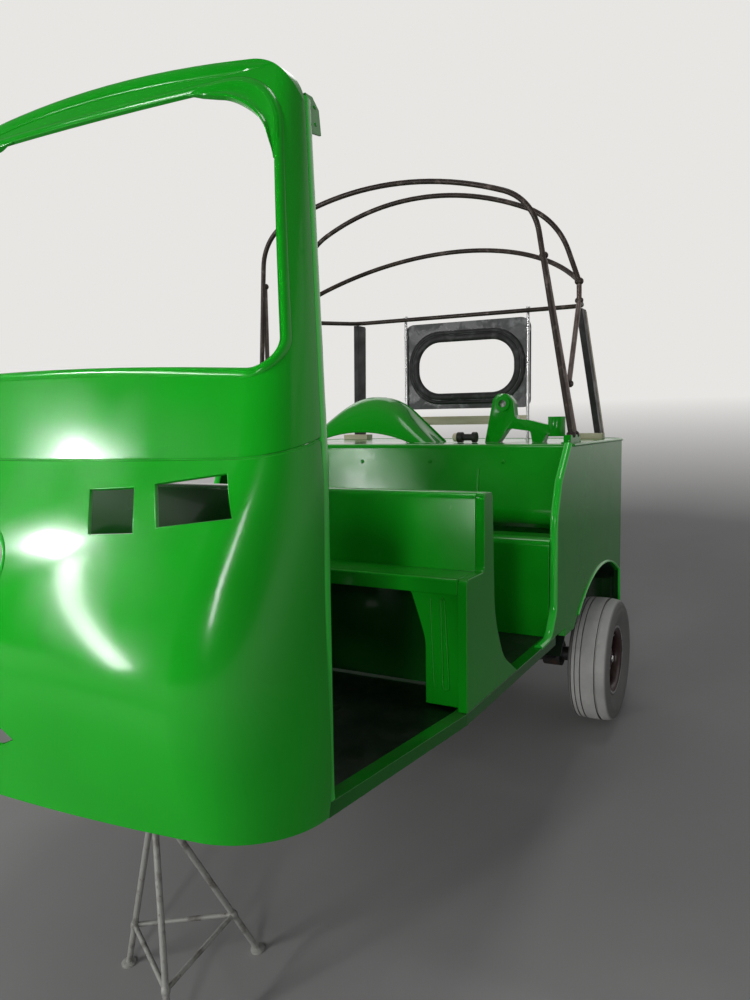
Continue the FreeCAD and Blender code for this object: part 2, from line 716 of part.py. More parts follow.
# Cross members: name, rear face, half-length
MEMBERS = (
    ("arm_member", S.arm_pivot_x - S.member_depth / 2, liner_inner_y - S.fit_gap),
    ("riser_member", S.riser_x + 40, floor_half(S.riser_x)),
    ("partition_member", S.partition_x - 60, floor_half(S.partition_x)),
    ("jack_member", S.jack_member_x, floor_half(S.jack_member_x + S.member_depth)),
)
members = [cross_member(*row) for row in MEMBERS]
EAR_THICKNESS = 10.0
PIN_HEAD = 5.0
PIN_HEAD_RATIO = 1.6
EYE_WALL = 8.0
ear_half = S.arm_radius + EYE_WALL
for side_name, side in SIDES:
    inner_face = S.arm_half - S.arm_eye_length / 2 - S.fit_gap
    low_y = inner_face - EAR_THICKNESS if side > 0 else -inner_face
    members.append(box(f"ear_{side_name}", 2 * ear_half, EAR_THICKNESS, rail_top_z - S.arm_pivot_z + ear_half,
                       (S.arm_pivot_x - ear_half, low_y, S.arm_pivot_z - ear_half)))
    pin_end = S.arm_half + S.arm_eye_length / 2 + S.fit_gap
    members.append(rod(f"pin_{side_name}", (S.arm_pivot_x, side * inner_face, S.arm_pivot_z),
                       (S.arm_pivot_x, side * (pin_end + PIN_HEAD), S.arm_pivot_z), S.arm_pin_radius))
    members.append(rod(f"pin_head_{side_name}", (S.arm_pivot_x, side * pin_end, S.arm_pivot_z),
                       (S.arm_pivot_x, side * (pin_end + PIN_HEAD), S.arm_pivot_z),
                       PIN_HEAD_RATIO * S.arm_pin_radius))
tail_reach = liner_inner_y - S.fit_gap
tail_bar_z = S.sill_high_z - S.fit_gap
members.append(box("tail_member", S.member_depth, 2 * tail_reach, S.rail_height,
                   (S.tail_x, -tail_reach, tail_bar_z - S.rail_height)))
rail_room = [box(f"rail_room_{n}", rail_front_x - rail_back_x, S.rail_width + 2 * S.fit_gap, S.floor_z,
                 (rail_back_x, side * float(S.rail_half) - float(S.rail_width) / 2 - float(S.fit_gap), 0))
             for n, (_, side) in enumerate(SIDES, start=1)]
on_vehicle(cut("cross_members", fuse("cross_bars", members), fuse("rail_rooms", rail_room)))


# Webs beside the steering head: half-width at the rails and at the head
WEB_HALF_BACK, WEB_HALF_FRONT, WEB_LAP = 230.0, 25.0, 20.0


def steering_head():
    """Raked tube of the steering with the webs that hold it to the rails."""
    rake = radians(float(S.head_rake))
    way = V(-sin(rake), 0, cos(rake))
    base = V(float(S.head_x), 0, float(S.head_low_z))
    tube = Part.makeCylinder(float(S.head_tube_radius), float(S.head_length), base, way)
    bore = Part.makeCylinder(float(S.head_bore_radius), float(S.head_length) + 20, base - way * 10, way)
    low = float(rail_top_z) - float(S.rail_height)
    high = float(rail_top_z)
    web_end = float(rail_front_x) + float(S.fit_gap)
    tip = float(S.head_x) - WEB_LAP
    web = slab("plan", [(web_end, -WEB_HALF_BACK), (tip, -WEB_HALF_FRONT), (tip, WEB_HALF_FRONT),
                        (web_end, WEB_HALF_BACK)], low, high)
    return tube.fuse(web).cut(bore).removeSplitter()


on_vehicle(shaped("steering_head", steering_head()))


# Toe board: run, height of its top, inset beside the nose and room round the steering head
TOE_RUN, TOE_TOP, TOE_INSET, TOE_ROOM = 110.0, 500.0, 70.0, 12.0


def toe_board():
    """Sloping plate ahead of the floor, notched round the steering head."""
    thick = float(S.skin)
    foot, top_x = float(floor_front_x) + float(S.fit_gap), float(floor_front_x) + TOE_RUN
    floor = float(S.floor_z)
    corners = [(foot, floor), (foot + thick, floor), (top_x + thick, TOE_TOP), (top_x, TOE_TOP)]
    half = float(S.door_edge_half) - TOE_INSET
    plate = slab("side", corners, -half, half)
    rake = radians(float(S.head_rake))
    way = V(-sin(rake), 0, cos(rake))
    room_radius = float(S.head_tube_radius) + TOE_ROOM
    room = Part.makeCylinder(room_radius, 2 * TOE_TOP, V(float(S.head_x), 0, float(S.head_low_z)), way)
    notch = Part.makeBox(2 * TOE_TOP, 2 * room_radius, 2 * TOE_TOP, V(foot, -room_radius, 0))
    return plate.cut(room).cut(notch)


on_vehicle(shaped("toe_board", toe_board()))

# Wall behind the driver, seat shelf and legs

wall_front_x = S.partition_x + S.partition_depth
on_sill_z = S.sill_high_z + S.fit_gap
on_floor_z = S.floor_z + S.skin + S.fit_gap
half_inside = S.side_half - S.side_wall - S.fit_gap

on_vehicle(padded(
    "driver_partition", "side",
    [(S.partition_x, on_sill_z), (S.partition_x + S.skin, on_sill_z),
     (S.partition_x + S.skin, S.partition_top_z - S.skin, 9),
     (wall_front_x - S.skin, S.partition_top_z - S.skin, 9),
     (wall_front_x - S.skin, S.shelf_z - S.skin - 2), (wall_front_x, S.shelf_z - S.skin - 2),
     (wall_front_x, S.partition_top_z, 14), (S.partition_x, S.partition_top_z, 14)],
    -half_inside, 2 * half_inside))
on_vehicle(padded(
    "seat_shelf", "side",
    [(wall_front_x + S.fit_gap, S.shelf_z - S.skin), (S.shelf_x - S.skin, S.shelf_z - S.skin),
     (S.shelf_x - S.skin, S.shelf_z - 32), (S.shelf_x, S.shelf_z - 32),
     (S.shelf_x, S.shelf_z, 4), (wall_front_x + S.fit_gap, S.shelf_z)],
    -half_inside, 2 * half_inside))

seat_legs = []
for side_name, side in SIDES:
    leg_top_z = S.shelf_z - 32 - S.fit_gap
    leg = [(half_inside - S.leg_width_top, leg_top_z),
           (half_inside - S.leg_width_top + 24, leg_top_z - 5, 14),
           (half_inside - S.leg_width_foot, leg_top_z - 103, 120),
           (half_inside - S.leg_width_foot, on_sill_z),
           (half_inside, on_sill_z), (half_inside, leg_top_z)]
    if side < 0:
        leg = [(-y, *rest) for y, *rest in reversed(leg)]
    seat_legs.append(padded(f"seat_leg_{side_name}", "front", leg, S.shelf_x - S.leg_setback - S.leg_depth,
                            S.leg_depth))
on_vehicle(fuse("seat_legs", seat_legs))

# Side stub between the driver's step and the passenger door
stub = [(S.partition_x - 170, S.sill_high_z + S.fit_gap), (S.shelf_x, S.sill_high_z + S.fit_gap),
        (S.shelf_x, S.shelf_z, 12), (wall_front_x, S.shelf_z, 10),
        (wall_front_x, S.partition_top_z, 14), (S.partition_x, S.partition_top_z, 14),
        (S.partition_x - 14, S.sill_high_z + 165, 220), (S.partition_x - 70, S.sill_high_z + 60, 120)]
for side_name, side in SIDES:
    low_y = S.side_half - S.side_wall if side > 0 else -S.side_half
    on_vehicle(padded(f"side_stub_{side_name}", "side", stub, low_y, S.side_wall))

# Rear seat riser, backrest panel and rear deck

on_vehicle(padded(
    "rear_riser", "side",
    [(S.riser_x - S.skin, on_floor_z), (S.riser_x, on_floor_z), (S.riser_x, S.riser_top_z, 22),
     (S.riser_x - S.seat_shelf_depth, S.riser_top_z),
     (S.riser_x - S.seat_shelf_depth, S.riser_top_z - S.skin),
     (S.riser_x - S.skin, S.riser_top_z - S.skin, 17)],
    -half_inside, 2 * half_inside))
on_vehicle(padded(
    "backrest_panel", "side",
    [(S.backrest_top_x + S.fit_gap, S.belt_z - S.skin), (S.backrest_top_x + 18, S.belt_z - S.skin, 12),
     (S.backrest_foot_x - S.skin, S.backrest_foot_z, 40), (S.backrest_foot_x - 60, S.backrest_foot_z - 30),
     (S.backrest_foot_x - 60, S.backrest_foot_z - 30 - S.skin),
     (S.backrest_foot_x, S.backrest_foot_z - S.skin, 45),
     (S.backrest_top_x + 22, S.belt_z, 16), (S.backrest_top_x + S.fit_gap, S.belt_z)],
    -half_inside, 2 * half_inside))
on_vehicle(padded(
    "rear_deck", "plan",
    [(S.tail_x + S.skin + S.fit_gap, -half_inside, S.tail_corner - S.side_wall),
     (S.backrest_top_x, -half_inside), (S.backrest_top_x, half_inside),
     (S.tail_x + S.skin + S.fit_gap, half_inside, S.tail_corner - S.side_wall)],
    S.belt_z - S.skin, S.skin))


# Side panels round the rear wheels, with a rounded rear corner in plan

# Rear edge of the doorway down to the sill, seen from the side: along, up and rounding
DOORWAY = ((550, 640, 60), (590, 540, 120), (590, 290, 50))
DOORWAY_TOP, DOORWAY_FRONT, DOORWAY_BACK = 1000.0, 900.0, 330.0


def quarter_panel(side):
    """Side panel round the rear corner, cut out for the doorway and the wheel arch."""
    wall, half, tail, corner = float(S.side_wall), float(S.side_half), float(S.tail_x), float(S.tail_corner)
    skin, reach = float(S.skin), float(S.side_half) + 100
    tail_y = side * float(S.tail_half)
    plan = [(tail, tail_y), (tail + skin, tail_y),
            (tail + skin, side * (half - wall), max(corner - wall, 1.0)),
            (DOORWAY_FRONT, side * (half - wall)),
            (DOORWAY_FRONT, side * half), (tail, side * half, corner)]
    ring = slab("plan", plan, float(S.corner_low_z), float(S.belt_z))
    sill_top, below = float(S.sill_high_z), float(S.sill_low_z) - 40
    foot_x = float(S.riser_x) + 40
    door = [(DOORWAY_FRONT, below), (DOORWAY_FRONT, DOORWAY_TOP), (DOORWAY_BACK, DOORWAY_TOP),
            (float(S.backrest_top_x) + 20, float(S.belt_z), 14), *DOORWAY, (foot_x, sill_top + 4, 60),
            (foot_x + 90, sill_top + 2, 40), (foot_x + 100, below)]
    ring = ring.cut(slab("side", door, -reach, reach))
    arch = Part.makeCylinder(float(S.arch_radius), 2 * reach, V(float(S.arch_x), -reach, float(S.arch_z)),
                             ACROSS)
    below_panel = Part.makeBox(2 * reach, 2 * reach, 2 * reach,
                               V(tail, -reach, float(S.sill_low_z) - 2 * reach))
    ahead = Part.makeBox(2 * reach, 2 * reach, 2 * reach, V(tail + corner, -reach, -reach))
    on_sill = sill_top + float(S.fit_gap)
    over_sill = Part.makeBox(2 * reach, 2 * reach, on_sill, V(float(S.riser_x) - 100, -reach, 0))
    return ring.cut(arch.fuse(below_panel).common(ahead)).cut(over_sill)


for side_name, side in SIDES:
    on_vehicle(shaped(f"quarter_panel_{side_name}", quarter_panel(side)))


LINER_LOW_Z = 130.0


def arch_liner(side):
    """Inner roof over a wheel, between the side panel and the engine's room."""
    radius, skin, gap = float(S.arch_radius), float(S.skin), float(S.fit_gap)
    inner_y, outer_y = float(liner_inner_y), float(half_inside)
    tail, corner = float(S.tail_x) + skin + gap, float(S.tail_corner) - float(S.side_wall)
    ring = Part.makeCylinder(radius + skin, outer_y - inner_y, V(float(S.arch_x), inner_y, float(S.arch_z)),
                             ACROSS)
    ring = ring.cut(Part.makeCylinder(radius, 2 * outer_y, V(float(S.arch_x), 0, float(S.arch_z)), ACROSS))
    room = slab("plan",
                [(tail, 0), (float(S.riser_x) - FLOOR_BACK, 0), (float(S.riser_x) - FLOOR_BACK, outer_y),
                         (tail, outer_y, corner)], LINER_LOW_Z, float(S.belt_z))
    ring = ring.common(room)
    return ring if side > 0 else ring.mirror(V(0, 0, 0), ACROSS)


on_vehicle(shaped("arch_liners", both_sides(arch_liner)))

# Tail panel with the engine lid

tail_low_z = S.sill_high_z
on_vehicle(padded(
    "tail_panel", "front",
    [(-(S.tail_half - S.fit_gap), tail_low_z), (S.tail_half - S.fit_gap, tail_low_z),
     (S.tail_half - S.fit_gap, S.belt_z), (-(S.tail_half - S.fit_gap), S.belt_z)],
    S.tail_x, S.skin,
    pockets=[[(-(S.lid_half - S.lid_lap), S.lid_foot_z + S.lid_lap, 20),
              (S.lid_half - S.lid_lap, S.lid_foot_z + S.lid_lap, 20),
              (S.lid_half - S.lid_lap, S.lid_top_z - S.lid_lap, 20),
              (-(S.lid_half - S.lid_lap), S.lid_top_z - S.lid_lap, 20)]]))

lid_back_x = S.tail_x - S.lid_gap - S.lid_sheet
hinge_x = S.tail_x - S.hinge_barrel_radius - S.lid_gap
hinge_z = S.lid_top_z + S.hinge_barrel_radius + 4
hinge_places = (-float(S.lid_half - S.hinge_inset), float(S.lid_half - S.hinge_inset))
knuckle_length = float(S.hinge_knuckle)


def engine_lid():
    half, foot, top = float(S.lid_half), float(S.lid_foot_z), float(S.lid_top_z)
    sheet_box = slab("front", [(-half, foot, 25), (half, foot, 25), (half, top, 25), (-half, top, 25)],
                     lid_back_x, lid_back_x + S.lid_sheet)
    lid = sheet_box
    # pressed ribs along the lid
    for z in (foot + 90, foot + 150, foot + 210):
        rib = slab("front",
                   [(-half + 70, z, 8), (half - 70, z, 8), (half - 70, z + 22, 8), (-half + 70, z + 22, 8)],
                   float(lid_back_x) - 5, float(lid_back_x) + 1)
        lid = lid.fuse(rib)
    for y in hinge_places:
        barrel = Part.makeCylinder(float(S.hinge_barrel_radius), knuckle_length,
                                   V(float(hinge_x), y - knuckle_length / 2, float(hinge_z)), ACROSS)
        tab = Part.makeBox(4, knuckle_length, float(hinge_z) - top + 20,
                           V(float(lid_back_x) - 1, y - knuckle_length / 2, top - 20))
        bore = Part.makeCylinder(float(S.hinge_pin_radius) + float(S.fit_gap), knuckle_length + 2,
                                 V(float(hinge_x), y - knuckle_length / 2 - 1, float(hinge_z)), ACROSS)
        lid = lid.fuse(barrel.fuse(tab)).cut(bore)
    return lid.removeSplitter()


LEAF, LEAF_HEIGHT, NECK_HEIGHT, HINGE_PLAY = 4.0, 40.0, 10.0, 2.0


def lid_hinges():
    """Pins with their two outer knuckles, on plates against the tail panel."""
    group = []
    for y in hinge_places:
        length = 3 * knuckle_length + 2 * HINGE_PLAY
        pin = Part.makeCylinder(float(S.hinge_pin_radius), length,
                                V(float(hinge_x), y - length / 2, float(hinge_z)),
                                ACROSS)
        hinge = pin
        for start in (y - length / 2, y + length / 2 - knuckle_length):
            knuckle = Part.makeCylinder(float(S.hinge_barrel_radius), knuckle_length,
                                        V(float(hinge_x), start, float(hinge_z)), ACROSS)
            leaf_x = float(S.tail_x) - LEAF - float(S.fit_gap)
            leaf_z = float(hinge_z) - HINGE_PLAY
            leaf = Part.makeBox(LEAF, knuckle_length, LEAF_HEIGHT, V(leaf_x, start, leaf_z))
            neck = Part.makeBox(float(S.hinge_barrel_radius), knuckle_length, NECK_HEIGHT,
                                V(float(hinge_x), start, leaf_z))
            hinge = hinge.fuse(knuckle).fuse(neck.fuse(leaf))
        group.append(hinge.removeSplitter())
    return Part.makeCompound(group)


on_vehicle(shaped("engine_lid", engine_lid()))
on_vehicle(shaped("lid_hinges", lid_hinges()))

# Engine, trailing arms, shock absorbers and drive shafts

engine_half = S.rail_half - S.rail_width / 2 - S.fit_gap
on_vehicle(box("engine_block", S.engine_length, 2 * engine_half, S.engine_height,
               (S.tail_x + 60, -engine_half, S.engine_low_z)))


CARRIER_LENGTH, CARRIER_WALL = 60.0, 20.0
# Brake plate: thickness and gap to the rim's inner edge, and how far the axle reaches past the wheel's middle
PLATE, PLATE_GAP, AXLE_END = 6.0, 18.0, 10.0


def trailing_arm(side):
    radius = float(S.arm_radius)
    pivot = V(float(S.arm_pivot_x), side * float(S.arm_half), float(S.arm_pivot_z))
    hub = V(0, side * float(S.arm_half), 0)
    tube = Part.makeCylinder(radius, (hub - pivot).Length, pivot, hub - pivot)
    eye_length = float(S.arm_eye_length)
    eye = Part.makeCylinder(radius + EYE_WALL, eye_length, pivot - ACROSS * (eye_length / 2), ACROSS)
    bore = Part.makeCylinder(float(S.arm_pin_radius) + float(S.fit_gap), eye_length,
                             pivot - ACROSS * (eye_length / 2),
                             ACROSS)
    carrier = Part.makeCylinder(radius + CARRIER_WALL, CARRIER_LENGTH,
                                V(0, side * float(S.arm_half) - CARRIER_LENGTH / 2, 0), ACROSS)
    face_y = float(S.track) / 2 - float(S.rim_width) / 2 - PLATE_GAP
    stub_end = float(S.track) / 2 + AXLE_END
    plate_low = side * float(S.arm_half)
    stub = Part.makeCylinder(float(S.axle_radius), stub_end - float(S.arm_half), V(0, plate_low, 0),
                             ACROSS * side)
    plate = Part.makeCylinder(float(S.drum_radius), PLATE, V(0, side * face_y, 0), ACROSS * side)
    sleeve = Part.makeCylinder(radius, face_y - float(S.arm_half), V(0, plate_low, 0), ACROSS * side)
    arm = tube.fuse(eye).fuse(carrier).fuse(stub).fuse(plate).fuse(sleeve)
    return arm.cut(bore).removeSplitter()


on_vehicle(shaped("trailing_arms", both_sides(trailing_arm)))


# Wheel disc: its faces along the axle, the hub's end and cap, the drum's wall
DISC_LOW, DISC_HIGH, HUB_END, CAP_END, DRUM_WALL = -4.0, 2.0, 28.0, 38.0, 6.0
NUTS, NUT_HOLE, NUT_CIRCLE = 5, 9.0, 62.0


def rim_shape(side):
    """Wheel rim with its disc, hub, cap and brake drum."""
    half, wall, inner = float(S.rim_width) / 2, float(S.rim_wall), float(S.axle_radius) + float(S.fit_gap)
    seat, flange = float(S.rim_seat_radius), float(S.rim_radius)
    drum, depth, hub = float(S.drum_radius), float(S.drum_depth), float(S.hub_radius)

    def turned_ring(outer, hole, low, high):
        ring = Part.makeCylinder(outer, high - low, V(0, low, 0), ACROSS)
        if hole:
            ring = ring.cut(Part.makeCylinder(hole, high - low, V(0, low, 0), ACROSS))
        return ring

    # along +Y is away from the vehicle
    rim = turned_ring(seat, seat - wall, -half, half)
    rim = rim.fuse(turned_ring(flange, seat - wall, -half, -half + wall))
    rim = rim.fuse(turned_ring(flange, seat - wall, half - wall, half))
    disc = turned_ring(seat - wall + 0.5, inner, DISC_LOW, DISC_HIGH)
    hub_ring = turned_ring(hub, inner, DISC_HIGH - half, HUB_END)
    drum_ring = turned_ring(drum, drum - DRUM_WALL, DISC_HIGH - half, DISC_LOW + 1)
    rim = rim.fuse(disc).fuse(hub_ring).fuse(drum_ring)
    rim = rim.fuse(turned_ring(hub - DRUM_WALL, 0, HUB_END, CAP_END))
    for number in range(NUTS):
        angle = 2 * pi * number / NUTS
        place = V(NUT_CIRCLE * cos(angle), DISC_LOW - NUT_HOLE, NUT_CIRCLE * sin(angle))
        hole = Part.makeCylinder(NUT_HOLE, 3 * NUT_HOLE, place, ACROSS)
        rim = rim.cut(hole)
    rim = rim.removeSplitter()
    if side < 0:
        rim = rim.mirror(V(0, 0, 0), ACROSS)
    rim.translate(V(0, side * float(S.track) / 2, 0))
    return rim


def tyre_shape(side):
    half, outer, shoulder = float(S.tyre_width) / 2, float(S.tyre_radius), float(S.tyre_shoulder)
    seat = float(S.rim_seat_radius) + float(S.fit_gap)
    bead_half = float(S.rim_width) / 2 - float(S.rim_wall) - float(S.fit_gap)
    wall = float(S.tyre_bead)
    # radius and half-width down one side, from the tread to the bead
    side_line = [(outer, half - shoulder), (outer - 0.3 * shoulder, half - 0.3 * shoulder),
                 (outer - shoulder, half), (seat + 2 * wall, half), (seat + wall, bead_half),
                 (seat, bead_half)]
    points = [V(r, y, 0) for r, y in side_line] + [V(r, -y, 0) for r, y in reversed(side_line)]
    tyre = Part.Face(Part.makePolygon([*points, points[0]])).revolve(V(0, 0, 0), ACROSS, 360)
    pitch, width, depth = float(S.groove_pitch), float(S.groove_width), float(S.groove_depth)
    for place in (-1.5, -0.5, 0.5, 1.5):
        low = place * pitch - width / 2
        ring = Part.makeCylinder(outer + 5, width, V(0, low, 0), ACROSS)
        ring = ring.cut(Part.makeCylinder(outer - depth, width, V(0, low, 0), ACROSS))
        tyre = tyre.cut(ring)
    tyre.translate(V(0, side * float(S.track) / 2, 0))
    return tyre


for side_name, side in SIDES:
    on_vehicle(shaped(f"rim_{side_name}", rim_shape(side)))
    on_vehicle(shaped(f"tyre_{side_name}", tyre_shape(side)))


SHOCK_X = 60.0
SHOCK_BODY = 16.0
COIL_WIRE = 6.0
COILS = 7


def shock(side):
    """Damper with its spring, from the trailing arm up to the liner."""
    half, gap = float(S.arm_half), float(S.fit_gap)
    foot = V(SHOCK_X, side * half, float(S.arm_radius))
    length = float(S.arch_z) + float(S.arch_radius) - foot.z
    body = Part.makeCylinder(SHOCK_BODY, length, foot)
    for number in range(COILS):
        height = foot + UP * (length * (0.2 + 0.08 * number))
        body = body.fuse(Part.makeCylinder(float(S.shock_radius), 2 * COIL_WIRE, height - UP * COIL_WIRE))
    pivot = V(float(S.arm_pivot_x), side * half, float(S.arm_pivot_z))
    hub = V(0, side * half, 0)
    arm = Part.makeCylinder(float(S.arm_radius) + gap, (hub - pivot).Length, pivot, hub - pivot)
    arch = Part.makeCylinder(float(S.arch_radius) - gap, 200,
                             V(float(S.arch_x), side * half - 100, float(S.arch_z)),
                             ACROSS)
    body = body.common(arch).cut(arm)
    return max(body.Solids, key=lambda solid: solid.Volume).removeSplitter()


on_vehicle(shaped("shocks", both_sides(shock)))


# Hood frame of bent round bar

def bow_path(base, crown, foot_half, shoulder, crown_radius, lean):
    """Path in the plane through the two feet and the crown: leg, shoulder arc, crown arc."""
    base, crown = V(*base), V(*crown)
    up = crown - base
    height = up.Length
    up.normalize()
    slope = radians(lean)
    start = (foot_half + shoulder * -cos(slope), shoulder * -sin(slope))
    way = (-sin(slope), cos(slope))
    low = height - crown_radius
    need = crown_radius - shoulder
    dx, dy = start[0], start[1] - low
    half_b = dx * way[0] + dy * way[1]
    run = -half_b + sqrt(half_b * half_b - (dx * dx + dy * dy - need * need))
    centre = (start[0] + way[0] * run, start[1] + way[1] * run)
    leg_end = (foot_half + way[0] * run, way[1] * run)
    swing = atan2(centre[0], centre[1] - low)
    touch = (crown_radius * sin(swing), low + crown_radius * cos(swing))
    mid_angle = 0.5 * (swing + (pi / 2 - slope))
    middle = (centre[0] + shoulder * sin(mid_angle), centre[1] + shoulder * cos(mid_angle))

    def at(point, sign):
        return base + V(0, sign * point[0], 0) + up * point[1]

    top = base + up * height
    return [
        Part.LineSegment(at((foot_half, 0), 1), at(leg_end, 1)).toShape(),
        Part.Arc(at(leg_end, 1), at(middle, 1), at(touch, 1)).toShape(),
        Part.Arc(at(touch, 1), top, at(touch, -1)).toShape(),
        Part.Arc(at(touch, -1), at(middle, -1), at(leg_end, -1)).toShape(),
        Part.LineSegment(at(leg_end, -1), at((foot_half, 0), -1)).toShape(),
    ]


def bent_bar(edges, radius):
    wire = Part.Wire(edges)
    first = edges[0]
    start = first.valueAt(first.FirstParameter)
    way = first.tangentAt(first.FirstParameter)
    section = Part.Wire(Part.makeCircle(radius, start, way))
    return wire.makePipeShell([section], True, True)


tube_radius = float(S.hood_tube)
joint = (float(S.hood_joint_x), float(S.hood_joint_half), float(S.hood_joint_z))

front_bow = bent_bar(bow_path((S.hood_pivot_x, 0, S.hood_pivot_z), (S.front_bow_x, 0, S.front_bow_z),
                              float(S.hood_pivot_half), 160.0, 1100.0, 7.8), tube_radius)
on_vehicle(shaped("hood_bow_front", front_bow))


def across(point, side):
    return V(point[0], side * point[1], point[2])


# How far a leg's knee lies behind its joint
KNEE_BACK = 3.0
brace_foot_x = float(S.hood_pivot_x) - float(S.brace_back)
brace_head_y = float(S.hood_pivot_half) - float(S.brace_head_inset)
leg_knee = (float(S.hood_joint_x) - KNEE_BACK, float(S.hood_joint_half), float(S.hood_knee_z))
leg_foot = (float(S.hood_foot_x), float(S.hood_pivot_half) - float(S.hood_foot_inset), float(S.hood_foot_z))
braces, legs = {}, {}
for side_name, side in SIDES:
    foot = V(brace_foot_x, side * (float(S.hood_pivot_half) - 2), float(S.hood_pivot_z))
    head = V(float(S.front_bow_x) - float(S.brace_head_back), side * brace_head_y, float(S.brace_head_z))
    brace = Part.makeCylinder(tube_radius, (head - foot).Length, foot, head - foot).cut(front_bow)
    braces[side] = brace.Solids[0]
    knee, low = across(leg_knee, side), across(leg_foot, side)
    upper = Part.makeCylinder(tube_radius, (across(joint, side) - knee).Length, knee,
                              across(joint, side) - knee)
    lower = Part.makeCylinder(tube_radius, (knee - low).Length, low, knee - low)
    ball = Part.makeSphere(tube_radius, knee)
    cap = Part.makeSphere(tube_radius, across(joint, side))
    leg = upper.fuse(lower).fuse(ball).fuse(cap).cut(braces[side])
    legs[side] = max(leg.Solids, key=lambda solid: solid.Volume)

on_vehicle(shaped("hood_braces", both_sides(braces.get)))
on_vehicle(shaped("hood_legs", both_sides(legs.get)))

middle_bow = bent_bar(bow_path((S.hood_joint_x, 0, S.hood_joint_z), (S.middle_bow_x, 0, S.middle_bow_z),
                               float(S.hood_joint_half), 240.0, 900.0, 18.0), tube_radius)
middle_bow = middle_bow.cut(legs[1]).cut(legs[-1])
middle_bow = max(middle_bow.Solids, key=lambda solid: solid.Volume)
on_vehicle(shaped("hood_bow_middle", middle_bow))


def rear_bow():
    ends = [V(float(S.hood_joint_x), side * float(S.hood_joint_half), float(S.hood_joint_z)) for _,
            side in SIDES]
    crown = V(float(S.rear_bow_x), 0, float(S.rear_bow_z))
    bow = bent_bar([Part.Arc(ends[0], crown, ends[1]).toShape()], tube_radius)
    bow = bow.cut(legs[1]).cut(legs[-1]).cut(middle_bow)
    return max(bow.Solids, key=lambda solid: solid.Volume)


on_vehicle(shaped("hood_bow_rear", rear_bow()))


# The rail starts this far over the knees, passes the boards by this much and bends with this radius
RAIL_RISE, BOARD_REACH, RAIL_BEND = 7.0, 6.0, 60.0


def rear_rail():
    """Rail round the back of the hood, from leg to leg."""
    start = V(leg_knee[0], leg_knee[1], leg_knee[2] + RAIL_RISE)
    corner = V(float(S.rear_rail_x), float(S.board_top_half) + BOARD_REACH, float(S.rear_rail_z))
    bend = RAIL_BEND
    way_in = (start - corner).normalize()
    half_turn = 0.5 * way_in.getAngle(V(0, -1, 0))
    reach = bend / sin(half_turn) * cos(half_turn)
    before = corner + way_in * reach
    after = corner + V(0, -1, 0) * reach
    to_centre = (way_in + V(0, -1, 0)).normalize()
    middle = corner + to_centre * (bend / sin(half_turn) - bend)

    def mirror(point):
        return V(point.x, -point.y, point.z)

    edges = [
        Part.LineSegment(start, before).toShape(),
        Part.Arc(before, middle, after).toShape(),
        Part.LineSegment(after, mirror(after)).toShape(),
        Part.Arc(mirror(after), mirror(middle), mirror(before)).toShape(),
        Part.LineSegment(mirror(before), mirror(start)).toShape(),
    ]
    rail = bent_bar(edges, tube_radius).cut(legs[1]).cut(legs[-1])
    return max(rail.Solids, key=lambda solid: solid.Volume)


rail_shape = rear_rail()
on_vehicle(shaped("hood_rail_rear", rail_shape))


# Bracket: its base plate and its post, each as length, width and reach behind the brace's foot
PIVOT_BASE, PIVOT_POST, PIVOT_SHEET = (130.0, 26.0, 30.0), (110.0, 22.0, 22.0), 4.0


def hood_pivots():
    """Bracket plates on the deck that hold the feet of the front bow and braces."""
    group = []
    for _, side in SIDES:
        y = side * float(S.hood_pivot_half)
        low, high = float(S.belt_z), float(S.hood_pivot_z)
        length, width, back = PIVOT_BASE
        base = Part.makeBox(length, width, PIVOT_SHEET,
                            V(brace_foot_x - back, y - width / 2 - side * PIVOT_SHEET,
                                                          low + float(S.fit_gap)))
        length, width, back = PIVOT_POST
        post = Part.makeBox(length, width, high - low - PIVOT_SHEET,
                            V(brace_foot_x - back, y - width / 2 - side * PIVOT_SHEET / 2, low + PIVOT_SHEET))
        group.append(base.fuse(post).cut(front_bow).cut(braces[side]).removeSplitter().Solids[0])
    return Part.makeCompound(group)


on_vehicle(shaped("hood_pivots", hood_pivots()))


# The rail falls this far over half a board's width
BOARD_DROP = 1.5


def side_board(side):
    gap = float(S.fit_gap)
    foot = V(float(S.board_foot_x), side * float(S.board_foot_half), float(S.belt_z) + gap)
    top_z = float(S.rear_rail_z) - tube_radius - gap - BOARD_DROP
    top = V(float(S.board_top_x), side * float(S.board_top_half), top_z)
    width, thick = float(S.board_width), float(S.board_sheet)
    sections = []
    for point in (foot, top):
        corners = [V(point.x + dx * width / 2, point.y + dy * thick / 2, point.z)
                   for dx, dy in ((-1, -1), (1, -1), (1, 1), (-1, 1), (-1, -1))]
        sections.append(Part.makePolygon(corners))
    return Part.makeLoft(sections, True, True)


on_vehicle(shaped("side_boards", both_sides(side_board)))

# Rear window panel, its rubber and its two bright poles

glass = [(-S.glass_half, S.glass_low_z, S.glass_corner), (S.glass_half, S.glass_low_z, S.glass_corner),
         (S.glass_half, S.glass_high_z, S.glass_corner), (-S.glass_half, S.glass_high_z, S.glass_corner)]
on_vehicle(padded(
    "window_panel", "front",
    [(-S.window_half, S.window_low_z, 30), (S.window_half, S.window_low_z, 30),
     (S.window_half, S.window_high_z, 40), (-S.window_half, S.window_high_z, 40)],
    S.window_x - S.window_sheet, S.window_sheet, pockets=[glass]))


